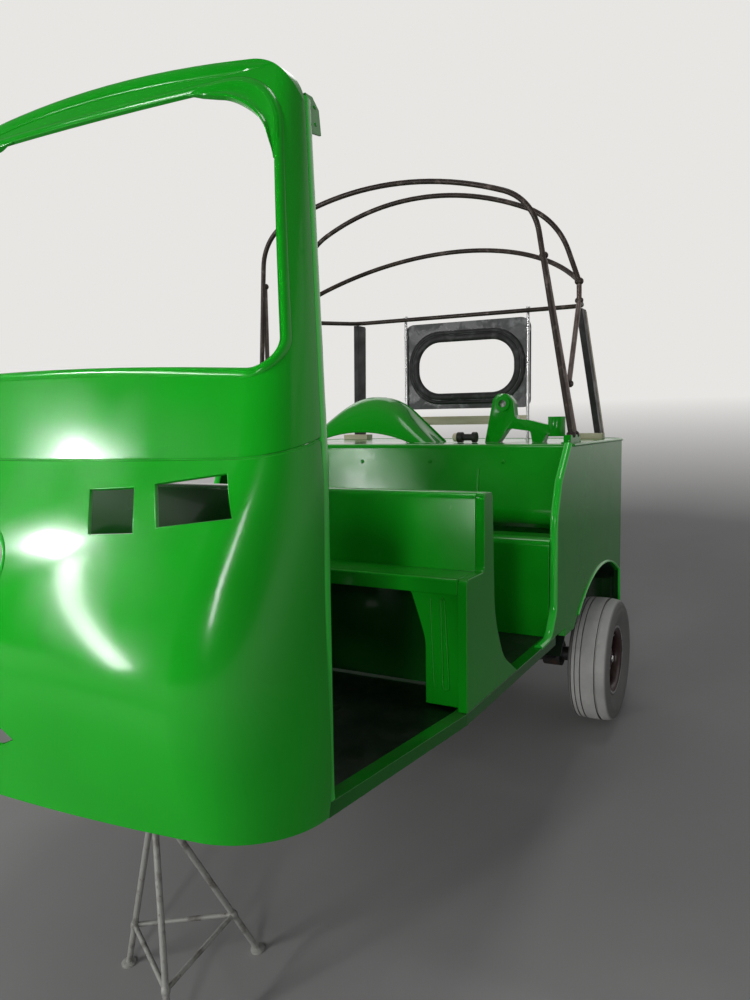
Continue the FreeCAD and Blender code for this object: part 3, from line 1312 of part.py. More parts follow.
def window_seal():
    def ring(grow, low, high):
        half, corner = float(S.glass_half) + grow, float(S.glass_corner) + grow
        low_z, high_z = float(S.glass_low_z) - grow, float(S.glass_high_z) + grow
        return slab("front", [(-half, low_z, corner), (half, low_z, corner), (half, high_z, corner),
                              (-half, high_z, corner)], low, high)

    width = float(S.seal_width)
    front = float(S.window_x) + float(S.fit_gap)
    seal = ring(width * 0.35, front, front + 10).cut(ring(-width * 0.65, front - 1, front + 11))
    return seal


on_vehicle(shaped("window_seal", window_seal()))

poles = []
for side_name, side in SIDES:
    x = float(S.window_x) + float(S.pole_radius) + float(S.fit_gap)
    poles.append(rod(f"pole_{side_name}", (x, side * (float(S.window_half) - 8), float(S.belt_z) + 0.3),
                     (x, side * (float(S.window_half) - 8), float(S.pole_top_z)), S.pole_radius))
on_vehicle(fuse("window_poles", poles))


# Wooden strip under the window panel and the blocks beneath the side boards
strip_depth = S.window_sheet + S.strip_lap
strip = box("window_strip_bar", strip_depth, 2 * S.strip_half, S.strip_high_z - S.strip_low_z,
            (S.window_x - strip_depth, -S.strip_half, S.strip_low_z))
blocks = []
for side_name, side in SIDES:
    inner = S.board_foot_half - S.block_inset
    low_y = inner if side > 0 else -(inner + S.block_length)
    blocks.append(box(f"wood_block_{side_name}", S.block_width, S.block_length, S.block_height,
                      (S.board_foot_x + S.block_width, low_y, S.belt_z + S.fit_gap)))
on_vehicle(fuse("wood_strip", [strip, *blocks]))

# Loose parts that lie on the rear deck

# Mudguard sections: place behind the near lip, apex above the deck, radius of the apex, slope of the flanks
GUARD_SECTIONS = (
    (0.0, 40.0, 500.0, 20.0),
    (26.0, 92.0, 360.0, 30.0),
    (68.0, 138.0, 250.0, 39.0),
    (140.0, 157.0, 215.0, 42.0),
)


def guard_loft(inset):
    low = float(S.belt_z) + float(S.fit_gap)
    wires = []
    for back, height, radius, slope in GUARD_SECTIONS:
        fall = radians(slope)
        crown, apex = radius - inset, low + height - inset
        peak = apex + crown * (1 / cos(fall) - 1)
        half = (peak - low) * cos(fall) / sin(fall)
        outline = [(float(S.guard_y) + half, low), (float(S.guard_y), peak, crown),
                   (float(S.guard_y) - half, low)]
        face = outline_face("front", outline)
        face.translate(V(float(S.guard_x) - back, 0, 0))
        wires.append(face.OuterWire)
    return Part.makeLoft(wires, True, False)


def loose_mudguard():
    shell = guard_loft(0.0).cut(guard_loft(float(S.guard_sheet)))
    return max(shell.Solids, key=lambda solid: solid.Volume)


on_vehicle(shaped("loose_mudguard", loose_mudguard()))

# Loose steering casting, seen from the front: (across, above the deck, rounding)
CASTING = ((257, 0), (303, 0), (335, 45, 20), (409, 35, 8), (416, 0), (452, 0), (460, 24), (470, 24),
           (470, 54),
           (402, 71, 15), (358, 75, 15), (352, 131, 20), (330, 156, 18), (300, 156, 18), (284, 138, 15))


# Boss at the casting's end and eye at its top: places across and up, radii, bores and how far the eye stands out
BOSS_END, BOSS_LOW, BOSS_LAP, BOSS_BORE = 470.0, 18.0, 0.7, 0.5
EYE_PLACE, EYE_RADIUS, EYE_BORE, EYE_OUT = (318.0, 124.0), 24.0, 12.0, 6.0


def loose_fork():
    """Steering casting that lies across the deck."""
    low = float(S.belt_z) + float(S.fit_gap)
    x, y, depth = float(S.casting_x), float(S.casting_y), float(S.casting_depth)
    radius, height = float(S.casting_boss_radius), float(S.casting_boss_height)
    outline = [(y + across_deck, low + up, *rest) for across_deck, up, *rest in CASTING]
    body = slab("front", outline, x - depth / 2, x + depth / 2)
    boss_y = y + BOSS_END + BOSS_LAP * radius
    boss = Part.makeCylinder(radius, height, V(x, boss_y, low + BOSS_LOW))
    start = V(x - depth / 2 - EYE_OUT, y + EYE_PLACE[0], low + EYE_PLACE[1])
    eye = Part.makeCylinder(EYE_RADIUS, depth + 2 * EYE_OUT, start, V(1, 0, 0))
    bores = Part.makeCylinder(EYE_BORE, depth + 2 * EYE_OUT, start, V(1, 0, 0))
    bores = bores.fuse(Part.makeCylinder(radius * BOSS_BORE, height, V(x, boss_y, low + BOSS_LOW)))
    return body.fuse(boss).fuse(eye).cut(bores).removeSplitter()


on_vehicle(shaped("loose_fork", loose_fork()))


# Bolt beside the casting: radii of its head and shank, place ahead of the casting, start and length of each part
BOLT_HEAD, BOLT_SHANK, BOLT_AHEAD = 17.0, 11.0, 55.0
BOLT_PARTS = ((BOLT_SHANK, 190.0, 52.0), (BOLT_HEAD, 176.0, 18.0), (BOLT_HEAD, 228.0, 14.0))


def loose_bolt():
    """Large bolt lying beside the casting."""
    place = V(float(S.casting_x) + BOLT_AHEAD, float(S.casting_y),
              float(S.belt_z) + float(S.fit_gap) + BOLT_HEAD)
    rods = [Part.makeCylinder(radius, length, place + ACROSS * start, ACROSS) for radius, start,
            length in BOLT_PARTS]
    return rods[0].fuse(rods[1:]).removeSplitter()


on_vehicle(shaped("loose_bolt", loose_bolt()))


# Tripod stand, square to the ground

APEX_BOSS, APEX_HEIGHT, APEX_LAP, BRACE_RATIO = 22.0, 26.0, 8.0, 0.8


def tripod():
    """Three legs with braces between them and a boss at their top."""
    spread, apex_z, radius = float(S.stand_spread), float(S.stand_apex_z), float(S.stand_rod)
    x = float(S.stand_x)
    apex = V(x, 0, apex_z)
    legs_made, feet = [], []
    for angle in (30, 150, 270):
        foot = V(x + spread * cos(radians(angle)), spread * sin(radians(angle)), 0)
        feet.append(foot)
        legs_made.append(Part.makeCylinder(radius, (apex - foot).Length, foot, apex - foot))
    share = float(S.stand_brace_z) / apex_z
    joints = [foot + (apex - foot) * share for foot in feet]
    for number in range(3):
        a, b = joints[number], joints[(number + 1) % 3]
        legs_made.append(Part.makeCylinder(radius * BRACE_RATIO, (b - a).Length, a, b - a))
    head = Part.makeCylinder(APEX_BOSS, APEX_HEIGHT, V(x, 0, apex_z + APEX_LAP - APEX_HEIGHT), UP)
    stand = head
    for leg in legs_made:
        stand = stand.fuse(leg)
    reach = 2 * spread
    floor = Part.makeBox(2 * reach, 2 * reach, reach, V(x - reach, -reach, -reach))
    return stand.cut(floor).removeSplitter()


def to_ground(point):
    """A point of the tipped vehicle in the ground's frame."""
    place = FreeCAD.Placement(V(0, 0, float(S.tyre_radius)), FreeCAD.Rotation(ACROSS, -float(S.nose_up)))
    return place.multVec(point)


# Jack: radii of screw and nut, height of the nut, and the saddle's length, width and thickness
SCREW, NUT, NUT_HEIGHT = 11.0, 19.0, 16.0
SADDLE = (90.0, 120.0, 8.0)


def stand_head():
    """Screw jack with a saddle that carries a cross member."""
    x = float(S.stand_x)
    gap = float(S.fit_gap)
    base_z = float(S.stand_apex_z) + APEX_LAP + gap
    tilt = FreeCAD.Rotation(ACROSS, -float(S.nose_up))
    under = to_ground(V(float(S.jack_member_x), 0, float(rail_top_z) - float(S.member_height)))
    slope = tilt.multVec(V(1, 0, 0))
    top_z = under.z + (x - under.x) * slope.z / slope.x
    screw = Part.makeCylinder(SCREW, top_z - base_z + NUT, V(x, 0, base_z), UP)
    nut = Part.makeCylinder(NUT, NUT_HEIGHT, V(x, 0, base_z), UP)
    length, width, thick = SADDLE
    plate = Part.makeBox(length, width, thick, V(-length / 2, -width / 2, -thick - gap))
    plate.Placement = FreeCAD.Placement(V(x, 0, top_z), tilt)
    keep = Part.makeBox(2 * top_z, 2 * top_z, 2 * top_z, V(-top_z, -top_z, -2 * top_z - gap))
    keep.Placement = FreeCAD.Placement(V(x, 0, top_z), tilt)
    return screw.common(keep).fuse(nut).fuse(plate).removeSplitter()


on_ground(shaped("stand_tripod", tripod()))
on_ground(shaped("stand_head", stand_head()))

# Everything is placed on the ground, with the origin under the middle of the whole

doc.recompute()
tipped = FreeCAD.Placement(V(0, 0, float(S.tyre_radius)), FreeCAD.Rotation(ACROSS, -float(S.nose_up)))
whole = FreeCAD.BoundBox()
for piece in vehicle_pieces:
    piece.Placement = tipped * piece.Placement
    whole.add(piece.Shape.optimalBoundingBox())
for piece in ground_pieces:
    whole.add(piece.Shape.optimalBoundingBox())
shift = FreeCAD.Placement(V(-whole.Center.x, -whole.Center.y, -whole.ZMin), NONE_TURNED)
for piece in vehicle_pieces + ground_pieces:
    piece.Placement = shift * piece.Placement
doc.recompute()

for thing in doc.Objects:
    if any(word in thing.State for word in ("Invalid", "Error")):
        raise RuntimeError(f"{thing.Name} failed: {thing.State}")
for piece in vehicle_pieces + ground_pieces:
    if piece.Shape.isNull() or not piece.Shape.isValid() or not piece.Shape.Solids:
        raise RuntimeError(f"{piece.Label} has no sound solid")

os.makedirs("parts", exist_ok=True)
for piece in vehicle_pieces + ground_pieces:
    piece.Shape.exportStep(os.path.join("parts", piece.Label + ".step"))
print("axle at", tuple(round(value, 2) for value in shift.Base), "whole", whole)
print(len(vehicle_pieces) + len(ground_pieces), "pieces")
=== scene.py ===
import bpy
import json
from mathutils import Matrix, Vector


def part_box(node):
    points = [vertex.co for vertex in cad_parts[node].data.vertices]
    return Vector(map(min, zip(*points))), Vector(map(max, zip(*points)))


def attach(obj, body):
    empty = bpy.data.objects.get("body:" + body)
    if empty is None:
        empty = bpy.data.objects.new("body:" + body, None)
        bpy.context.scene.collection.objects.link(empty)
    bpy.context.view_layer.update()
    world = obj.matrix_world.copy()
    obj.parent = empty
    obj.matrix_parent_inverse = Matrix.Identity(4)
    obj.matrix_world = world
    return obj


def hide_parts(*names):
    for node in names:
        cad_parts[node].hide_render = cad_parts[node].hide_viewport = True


bl_info = {
    "name": "Three-wheel vehicle body",
    "version": (1, 0, 0),
    "blender": (4, 5, 0),
    "location": "3D View > Sidebar > Vehicle",
    "description": "Dresses the packed parts of a stripped three-wheel vehicle on its stand",
    "category": "Object",
}

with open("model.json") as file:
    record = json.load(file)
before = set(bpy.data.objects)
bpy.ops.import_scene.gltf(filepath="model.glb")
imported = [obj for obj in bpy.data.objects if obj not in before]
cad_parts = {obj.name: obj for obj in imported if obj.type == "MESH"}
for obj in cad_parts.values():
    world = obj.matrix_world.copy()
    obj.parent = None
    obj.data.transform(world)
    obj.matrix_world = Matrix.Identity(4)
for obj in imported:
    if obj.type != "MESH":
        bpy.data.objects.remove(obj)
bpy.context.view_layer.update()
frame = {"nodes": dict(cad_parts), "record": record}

import json
from math import atan2, ceil, copysign, cos, pi, radians, sin, sqrt, tan

import bmesh
import bpy
from mathutils import Matrix, Vector
from mathutils.bvhtree import BVHTree

NODES = frame["nodes"]

# Vehicle frame: millimetres from the middle of the rear axle, +X forward, +Y left, +Z up from the floor pan
MM = 0.001
NOSE_UP = radians(9.35)
TYRE_LOW, TYRE_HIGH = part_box("tyre_left")
AXLE = Vector(((TYRE_LOW.x + TYRE_HIGH.x) / 2, 0, (TYRE_LOW.z + TYRE_HIGH.z) / 2))
TILT = Matrix.Rotation(-NOSE_UP, 3, "Y")
VEHICLE = Matrix.Translation(AXLE) @ TILT.to_4x4() @ Matrix.Scale(MM, 4)
TO_VEHICLE = VEHICLE.inverted()
# Ground frame: millimetres from the floor below the rear axle
GROUND = Matrix.Translation((AXLE.x, 0, 0)) @ Matrix.Scale(MM, 4)
ALONG, ACROSS, UP = Vector((1, 0, 0)), Vector((0, 1, 0)), Vector((0, 0, 1))
SIDES = (1, -1)


def span(name):
    """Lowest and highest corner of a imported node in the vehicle's frame."""
    points = [TO_VEHICLE @ vertex.co for vertex in NODES[name].data.vertices]
    return (Vector([min(point[axis] for point in points) for axis in range(3)]),
            Vector([max(point[axis] for point in points) for axis in range(3)]))


# Sizes and colours a user may change

class VehicleLooks(bpy.types.PropertyGroup):
    paint: bpy.props.FloatVectorProperty(
        name="Paint", description="Colour of the fresh enamel", subtype="COLOR", default=(0.008, 0.42, 0.014),
        min=0, max=1)
    paint_roughness: bpy.props.FloatProperty(
        name="Paint roughness", description="Blur of the enamel's reflections", default=0.16, min=0, max=1,
        subtype="FACTOR")
    floor_colour: bpy.props.FloatVectorProperty(
        name="Floor", description="Colour of the studio floor", subtype="COLOR", default=(0.35, 0.345, 0.34),
        min=0, max=1)


class VehicleCamera(bpy.types.PropertyGroup):
    focal: bpy.props.FloatProperty(
        name="Focal length", description="Lens for the picture's long side", default=28.756, min=10, max=200,
        unit="CAMERA")
    station: bpy.props.FloatVectorProperty(
        name="Station",
        description="Camera's place from the rear axle, in the vehicle's frame, in millimetres",
        default=(2707.5, 1180.0, 808.0))
    heading: bpy.props.FloatProperty(
        name="Heading", description="Turn of the view away from straight back", default=0.493407,
        subtype="ANGLE")
    dip: bpy.props.FloatProperty(
        name="Dip", description="Tilt of the view below the vehicle's floor plane", default=0.096157,
        subtype="ANGLE")
    roll: bpy.props.FloatProperty(
        name="Roll", description="Roll of the camera about its axis", default=0.013797, subtype="ANGLE")


class VehicleTrim(bpy.types.PropertyGroup):
    lip: bpy.props.FloatProperty(
        name="Hole lip", description="Height of the rolled lips round the nose's holes, in millimetres",
        default=0.35, min=0.1, max=5)
    flange: bpy.props.FloatProperty(
        name="Screen flange", description="Width of the flange round the windscreen opening, in millimetres",
        default=15.0, min=6, max=30)
    rib: bpy.props.FloatProperty(
        name="Floor rib", description="Height of the floor's pressed ribs, in millimetres", default=5.0,
        min=1, max=12)
    coils: bpy.props.IntProperty(name="Spring coils", description="Turns of each spring", default=8, min=3,
                                 max=14)
    edge: bpy.props.FloatProperty(
        name="Edge radius", description="Rounding of the pressed sheets' edges, in millimetres", default=2.0,
        min=0, max=5)


# Materials

class Nodes:
    """A node tree with helpers for its shaders and textures."""

    def __init__(self, tree):
        self.tree = tree
        tree.nodes.clear()

    def feed(self, value, socket):
        """Gives a socket a value or a link."""
        if isinstance(value, bpy.types.NodeSocket):
            self.tree.links.new(value, socket)
        else:
            socket.default_value = value

    def add(self, kind, *values, **settings):
        """A node with its settings and named sockets set and its first sockets fed."""
        node = self.tree.nodes.new(kind)
        for key, value in settings.items():
            if hasattr(node, key):
                setattr(node, key, value)
            else:
                self.feed(value, node.inputs[key.replace("_", " ")])
        for value, socket in zip(values, node.inputs):
            self.feed(value, socket)
        return node

    def math(self, kind, *values):
        return self.add("ShaderNodeMath", *values, operation=kind).outputs[0]

    def ramp(self, source, low, high, start=0.0, end=1.0, kind="LINEAR"):
        """The source's stretch from low to high, carried over to the one from start to end."""
        node = self.add("ShaderNodeMapRange", source, low, high, start, end, interpolation_type=kind,
                        clamp=True)
        return node.outputs[0]

    def part(self, source, axis):
        return self.add("ShaderNodeSeparateXYZ", source).outputs[axis]

    def mix(self, factor, under, over):
        """Two colours mixed."""
        node = self.add("ShaderNodeMix", factor, data_type="RGBA")
        self.feed(under, node.inputs[6])
        self.feed(over, node.inputs[7])
        return node.outputs[2]

    def blend(self, factor, under, over):
        """Two shaders mixed."""
        return self.add("ShaderNodeMixShader", factor, under, over).outputs[0]

    def seen(self):
        """From 0 to 1, whether the camera, a mirror or glass sees a surface."""
        rays = self.add("ShaderNodeLightPath").outputs
        mirrored = self.math("MAXIMUM", rays["Is Camera Ray"], rays["Is Glossy Ray"])
        return self.math("MAXIMUM", mirrored, rays["Is Transmission Ray"])


class Finish(Nodes):
    """A procedural material with one shader."""

    def __init__(self, name, colour, roughness, metallic=0.0, **sockets):
        self.material = bpy.data.materials.new(name)
        self.material.use_nodes = True
        super().__init__(self.material.node_tree)
        self.shader = self.add("ShaderNodeBsdfPrincipled", Base_Color=(*colour, 1), Roughness=roughness,
                               Metallic=metallic, **sockets)
        self.output = self.add("ShaderNodeOutputMaterial", self.shader.outputs["BSDF"])
        self.place = self.add("ShaderNodeTexCoord").outputs["Object"]
        self.height = None

    def noise(self, scale, detail=4.0, rough=0.55, stretch=None):
        place = self.add("ShaderNodeMapping", self.place, Scale=stretch).outputs[0] if stretch else self.place
        return self.add("ShaderNodeTexNoise", place, Scale=scale, Detail=detail,
                        Roughness=rough).outputs["Fac"]

    def colours(self, *layers):
        """Base colour from the first colour, with (colour, factor) laid over it."""
        mixed = self.shader.inputs["Base Color"].default_value[:]
        for colour, factor in layers:
            mixed = self.mix(factor, mixed, (*colour, 1))
        self.feed(mixed, self.shader.inputs["Base Color"])
        return self

    def rough(self, source, low, high):
        self.feed(self.ramp(source, 0.3, 0.7, low, high), self.shader.inputs["Roughness"])
        return self

    def bump(self, source, distance, strength=1.0):
        """Relief over any that was given before."""
        node = self.add("ShaderNodeBump", Strength=strength, Distance=distance, Height=source)
        if self.height:
            self.feed(self.height, node.inputs["Normal"])
        self.height = node.outputs["Normal"]
        self.feed(self.height, self.shader.inputs["Normal"])
        return self

    def axis(self, name):
        """Place along one axis of the scene, in metres."""
        return self.part(self.place, name)

    def away(self):
        """Distance from the middle of the scene, in metres."""
        return self.vector("LENGTH", "Value", self.place)

    def vector(self, kind, output, *values):
        return self.add("ShaderNodeVectorMath", *values, operation=kind).outputs[output]

    def geometry(self, name):
        return self.add("ShaderNodeNewGeometry").outputs[name]

    def sidewall(self):
        """From 0 on a wheel's tread to 0.9 on its side walls."""
        across = self.math("ABSOLUTE", self.part(self.geometry("Normal"), "Y"))
        return self.ramp(across, 0.55, 0.8, 0.0, 0.9)

    def inward(self, centre):
        """Painted shade mask: from 0 on faces that look away from a place inside the body to 0.93 on those
        that look to it.
        """
        away = self.vector("SUBTRACT", "Vector", self.geometry("Position"), centre)
        facing = self.vector("DOT_PRODUCT", "Value", self.geometry("Normal"), away)
        return self.ramp(facing, 0.0, -0.1, 0.0, 0.93)

    def upward(self, low, high):
        """How far a surface faces up, from 0 to 1."""
        return self.ramp(self.part(self.geometry("Normal"), "Z"), low, high)


MATERIALS = {}
DUST = (0.30, 0.27, 0.23)
# Painted shade: the near-black that the shade masks lay over the enamel
SHADED = (0.004, 0.016, 0.005)
# Painted highlight: a lighter green for the rolled edges, with a second green mottled into it
ROLL_HIGHLIGHT_TONE, ROLL_HIGHLIGHT_MOTTLE = (0.03, 0.80, 0.05), (0.02, 0.66, 0.04)
# Height of the driver's seat shelf over the floor, below which the partition gets painted shade, and a place
# inside the rear body, towards which faces get painted shade, in metres
SHELF_HEIGHT = 0.86
REAR_MIDDLE = (-0.55, 0.0, 0.75)
# Painted shade in the cab: from none at a place across to its full depth at another, in metres
CAB_SHADE = (0.34, -0.05, 0.0, 0.85)
# Finishes by slot: (name, colour, roughness, metallic), layers of (colour, noise, ramp), the noise and range
# of the roughness, and the noise, distance and strength of the bump
WORN = {
    "chassis_paint": (("chassis_black", (0.014, 0.016, 0.014), 0.5), (
        ((0.05, 0.045, 0.04), (5.0,), (0.4, 0.7)), ((0.11, 0.045, 0.02), (26.0, 8), (0.6, 0.72, 0.0, 0.8))),
        ((20.0, 6), 0.4, 0.75), ((220.0, 4), 0.0003, 0.6)),
    "hood_rod": (("hood_rod_paint", (0.024, 0.014, 0.011), 0.42, 0.15), (
        ((0.06, 0.04, 0.03), (8.0,), (0.4, 0.7)), ((0.17, 0.13, 0.11), (34.0, 8), (0.56, 0.68, 0.0, 0.85))),
        ((30.0,), 0.35, 0.65), ((260.0, 4), 0.0003, 0.6)),
    "bare_steel": (("bare_brown_steel", (0.21, 0.17, 0.155), 0.42, 0.6), (
        ((0.075, 0.05, 0.04), (22.0, 8), (0.45, 0.68)), ((0.36, 0.33, 0.31), (55.0, 6), (0.6, 0.75, 0, 0.7))),
        ((35.0,), 0.3, 0.6), ((240.0, 4), 0.0003, 0.5)),
    "stand_paint": (("stand_grey", (0.38, 0.38, 0.355), 0.5, 0.2), (
        ((0.2, 0.19, 0.17), (30.0, 8), (0.5, 0.65)), ((0.10, 0.06, 0.04), (70.0, 8), (0.62, 0.72, 0, 0.8))),
        ((40.0,), 0.4, 0.7), ((260.0, 4), 0.0003, 0.6)),
    "board": (("board_cover", (0.012, 0.012, 0.013), 0.5), (((0.05, 0.05, 0.052), (12.0, 7), (0.45, 0.7)),),
              ((16.0,), 0.4, 0.7), ((420.0, 2), 0.0003, 0.6)),
    "seal_rubber": (("seal_rubber", (0.018, 0.018, 0.018), 0.6),
                    (((0.11, 0.11, 0.11), (20.0, 8), (0.5, 0.75)),),
                    ((30.0,), 0.5, 0.75), ((200.0, 3), 0.0002, 0.5)),
    "bright_metal": (("plated_tube", (0.62, 0.62, 0.62), 0.28, 0.9), (
        ((0.30, 0.28, 0.26), (16.0, 5), (0.55, 0.75, 0, 0.8)),), ((12.0,), 0.22, 0.36),
        ((60.0, 2), 0.00003, 0.2)),
    "engine": (("oily_casting", (0.16, 0.155, 0.15), 0.5, 0.6),
               (((0.03, 0.028, 0.025), (10.0, 9), (0.42, 0.62)),),
               ((22.0,), 0.3, 0.65), ((330.0, 4), 0.0005, 0.8)),
    "rim": (("maroon_rim", (0.035, 0.008, 0.008), 0.45),
            (((0.09, 0.075, 0.06), (18.0, 8), (0.5, 0.7, 0, 0.7)),),
            ((25.0,), 0.35, 0.7), ((240.0, 3), 0.0002, 0.5)),
}
# Coats of these finishes
COATS = {"rim": {"Coat_Weight": 0.3, "Coat_Roughness": 0.25}}


def make_enamel(name, looks, shade=None, coat=0.28, first=None, second=(0.006, 0.34, 0.010)):
    """Green enamel, and where the shade mask reaches 1 a painted shade of near-black."""
    paint = Finish(name, first or looks.paint, looks.paint_roughness, Coat_Weight=coat, Coat_Roughness=0.09,
                   Specular_IOR_Level=0.2)
    dusty = paint.math("MULTIPLY", paint.upward(0.75, 1.0),
                       paint.ramp(paint.noise(6.0, 8), 0.4, 0.75, 0.0, 0.3))
    layers = [(second, paint.ramp(paint.noise(1.7, 3), 0.35, 0.7)), (DUST, dusty)]
    if shade:
        layers.append((SHADED, shade(paint)))
    paint.colours(*layers)
    paint.rough(paint.noise(9.0, 6), looks.paint_roughness - 0.05, looks.paint_roughness + 0.08)
    paint.bump(paint.noise(130.0, 2), 0.00012, 0.4).bump(paint.noise(420.0, 2), 0.00006, 0.3)
    return paint.material


def make_materials(looks):
    for slot, (base, layers, blur, grain) in WORN.items():
        worn = Finish(*base, **COATS.get(slot, {}))
        worn.colours(*[(colour, worn.ramp(worn.noise(*noise), *limits)) for colour, noise, limits in layers])
        worn.rough(worn.noise(*blur[0]), *blur[1:]).bump(worn.noise(*grain[0]), *grain[1:])
        MATERIALS[slot] = worn.material

    MATERIALS["green_paint"] = make_enamel("green_enamel", looks)
    # Rolled edges: the lighter green is a painted highlight
    MATERIALS["roll_highlight_paint"] = make_enamel("roll_highlight_enamel", looks, coat=0.6, first=ROLL_HIGHLIGHT_TONE, second=ROLL_HIGHLIGHT_MOTTLE)
    MATERIALS["satin_paint"] = make_enamel("satin_enamel", looks, coat=0.06)
    # Tail and quarter panels: painted shade on the faces that look into the rear body
    MATERIALS["inward_shade_paint"] = make_enamel("inward_shade_enamel", looks, lambda paint: paint.inward(REAR_MIDDLE))
    # Sills: painted shade over the enamel, from half to most of its depth by noise
    MATERIALS["sill_shade_paint"] = make_enamel("sill_shade_enamel", looks, lambda paint: paint.ramp(
        paint.noise(3.0), 0.2, 0.8, 0.5, 0.8))
    # Seat shelf: painted shade across the cab
    MATERIALS["shelf_shade_paint"] = make_enamel("shelf_shade_enamel", looks, lambda paint: paint.ramp(
        paint.axis("Y"), *CAB_SHADE))

    # Driver's partition: painted shade below the seat shelf and across the cab
    wall = Finish("shaded_enamel", looks.paint, looks.paint_roughness + 0.04, Coat_Weight=0.3,
                  Coat_Roughness=0.06, Specular_IOR_Level=0.3)
    low = wall.ramp(wall.axis("Z"), SHELF_HEIGHT, SHELF_HEIGHT - 0.03, 0.0, 0.85)
    wall.colours((SHADED, wall.math("MAXIMUM", low, wall.ramp(wall.axis("Y"), *CAB_SHADE))))
    wall.rough(wall.noise(9.0, 6), looks.paint_roughness, looks.paint_roughness + 0.12)
    wall.bump(wall.noise(130.0, 2), 0.00012, 0.4)
    MATERIALS["shaded_paint"] = wall.material

    inner = Finish("inner_green_black", (0.002, 0.009, 0.003), 0.5, Coat_Weight=0.08, Coat_Roughness=0.2,
                   Specular_IOR_Level=0.2)
    dust = inner.math("MULTIPLY", inner.upward(0.4, 1.0),
                      inner.ramp(inner.noise(14.0, 8), 0.45, 0.75, 0.0, 0.4))
    inner.colours(((0.006, 0.024, 0.008), inner.ramp(inner.noise(3.0), 0.4, 0.7)),
                  ((0.03, 0.03, 0.025), dust))
    inner.rough(inner.noise(22.0, 6), 0.3, 0.6).bump(inner.noise(160.0, 3), 0.0002, 0.5)
    MATERIALS["inner_paint"] = inner.material

    tyre = Finish("dusty_tyre", (0.68, 0.67, 0.64), 0.85)
    tyre.colours(((0.45, 0.445, 0.43), tyre.ramp(tyre.noise(7.0, 8), 0.42, 0.66, 0.0, 0.7)),
                 ((0.56, 0.55, 0.52), tyre.ramp(tyre.noise(60.0, 6), 0.56, 0.75, 0, 0.6)),
                 ((0.16, 0.157, 0.15), tyre.sidewall()))
    tyre.rough(tyre.noise(40.0), 0.72, 0.95).bump(tyre.noise(300.0, 5), 0.0004, 0.7)
    MATERIALS["tyre"] = tyre.material

    panel = Finish("dusty_black_sheet", (0.04, 0.04, 0.042), 0.5)
    smears = panel.ramp(panel.noise(9.0, 9, 0.65), 0.4, 0.62)
    haze = panel.ramp(panel.noise(23.0, 9), 0.55, 0.74, 0, 0.8)
    panel.colours(((0.14, 0.14, 0.145), smears), ((0.40, 0.41, 0.42), haze)).rough(smears, 0.35, 0.75)
    panel.bump(panel.noise(140.0, 4), 0.0002, 0.5).bump(panel.noise(7.0, 2), 0.003, 0.4)
    MATERIALS["dusty_panel"] = panel.material

    wood = Finish("cream_wood", (0.86, 0.79, 0.60), 0.6)
    grain = wood.noise(24.0, 6, 0.6, (1.0, 0.08, 1.0))
    wood.colours(((0.66, 0.55, 0.36), wood.ramp(grain, 0.5, 0.72)),
                 ((0.34, 0.29, 0.20), wood.ramp(wood.noise(14.0, 8), 0.6, 0.78, 0, 0.6)))
    wood.rough(grain, 0.5, 0.75).bump(grain, 0.0006, 0.6)
    MATERIALS["cream_wood"] = wood.material


# Shapes

def around(count, first=0.0):
    """Cosine and sine of equal steps round a circle."""
    swings = [first + 2 * pi * number / count for number in range(count)]
    return [(cos(swing), sin(swing)) for swing in swings]


def frames(path, facing=None, closed=False):
    """Each point of a path with its outward way, square to the run, and the way to the left of the run.

    Facing is one direction or a list with one for each point. Without it the way is carried on without twist.
    """
    count = len(path)
    out = None
    for i, point in enumerate(path):
        before = path[i - 1] if i or closed else point
        after = path[(i + 1) % count] if i < count - 1 or closed else point
        run = (after - before).normalized()
        if facing is not None:
            out = facing[i] if isinstance(facing, list) else facing
        elif out is None:
            out = run.orthogonal()
        out = (out - run * out.dot(run)).normalized()
        yield point, out, out.cross(run)


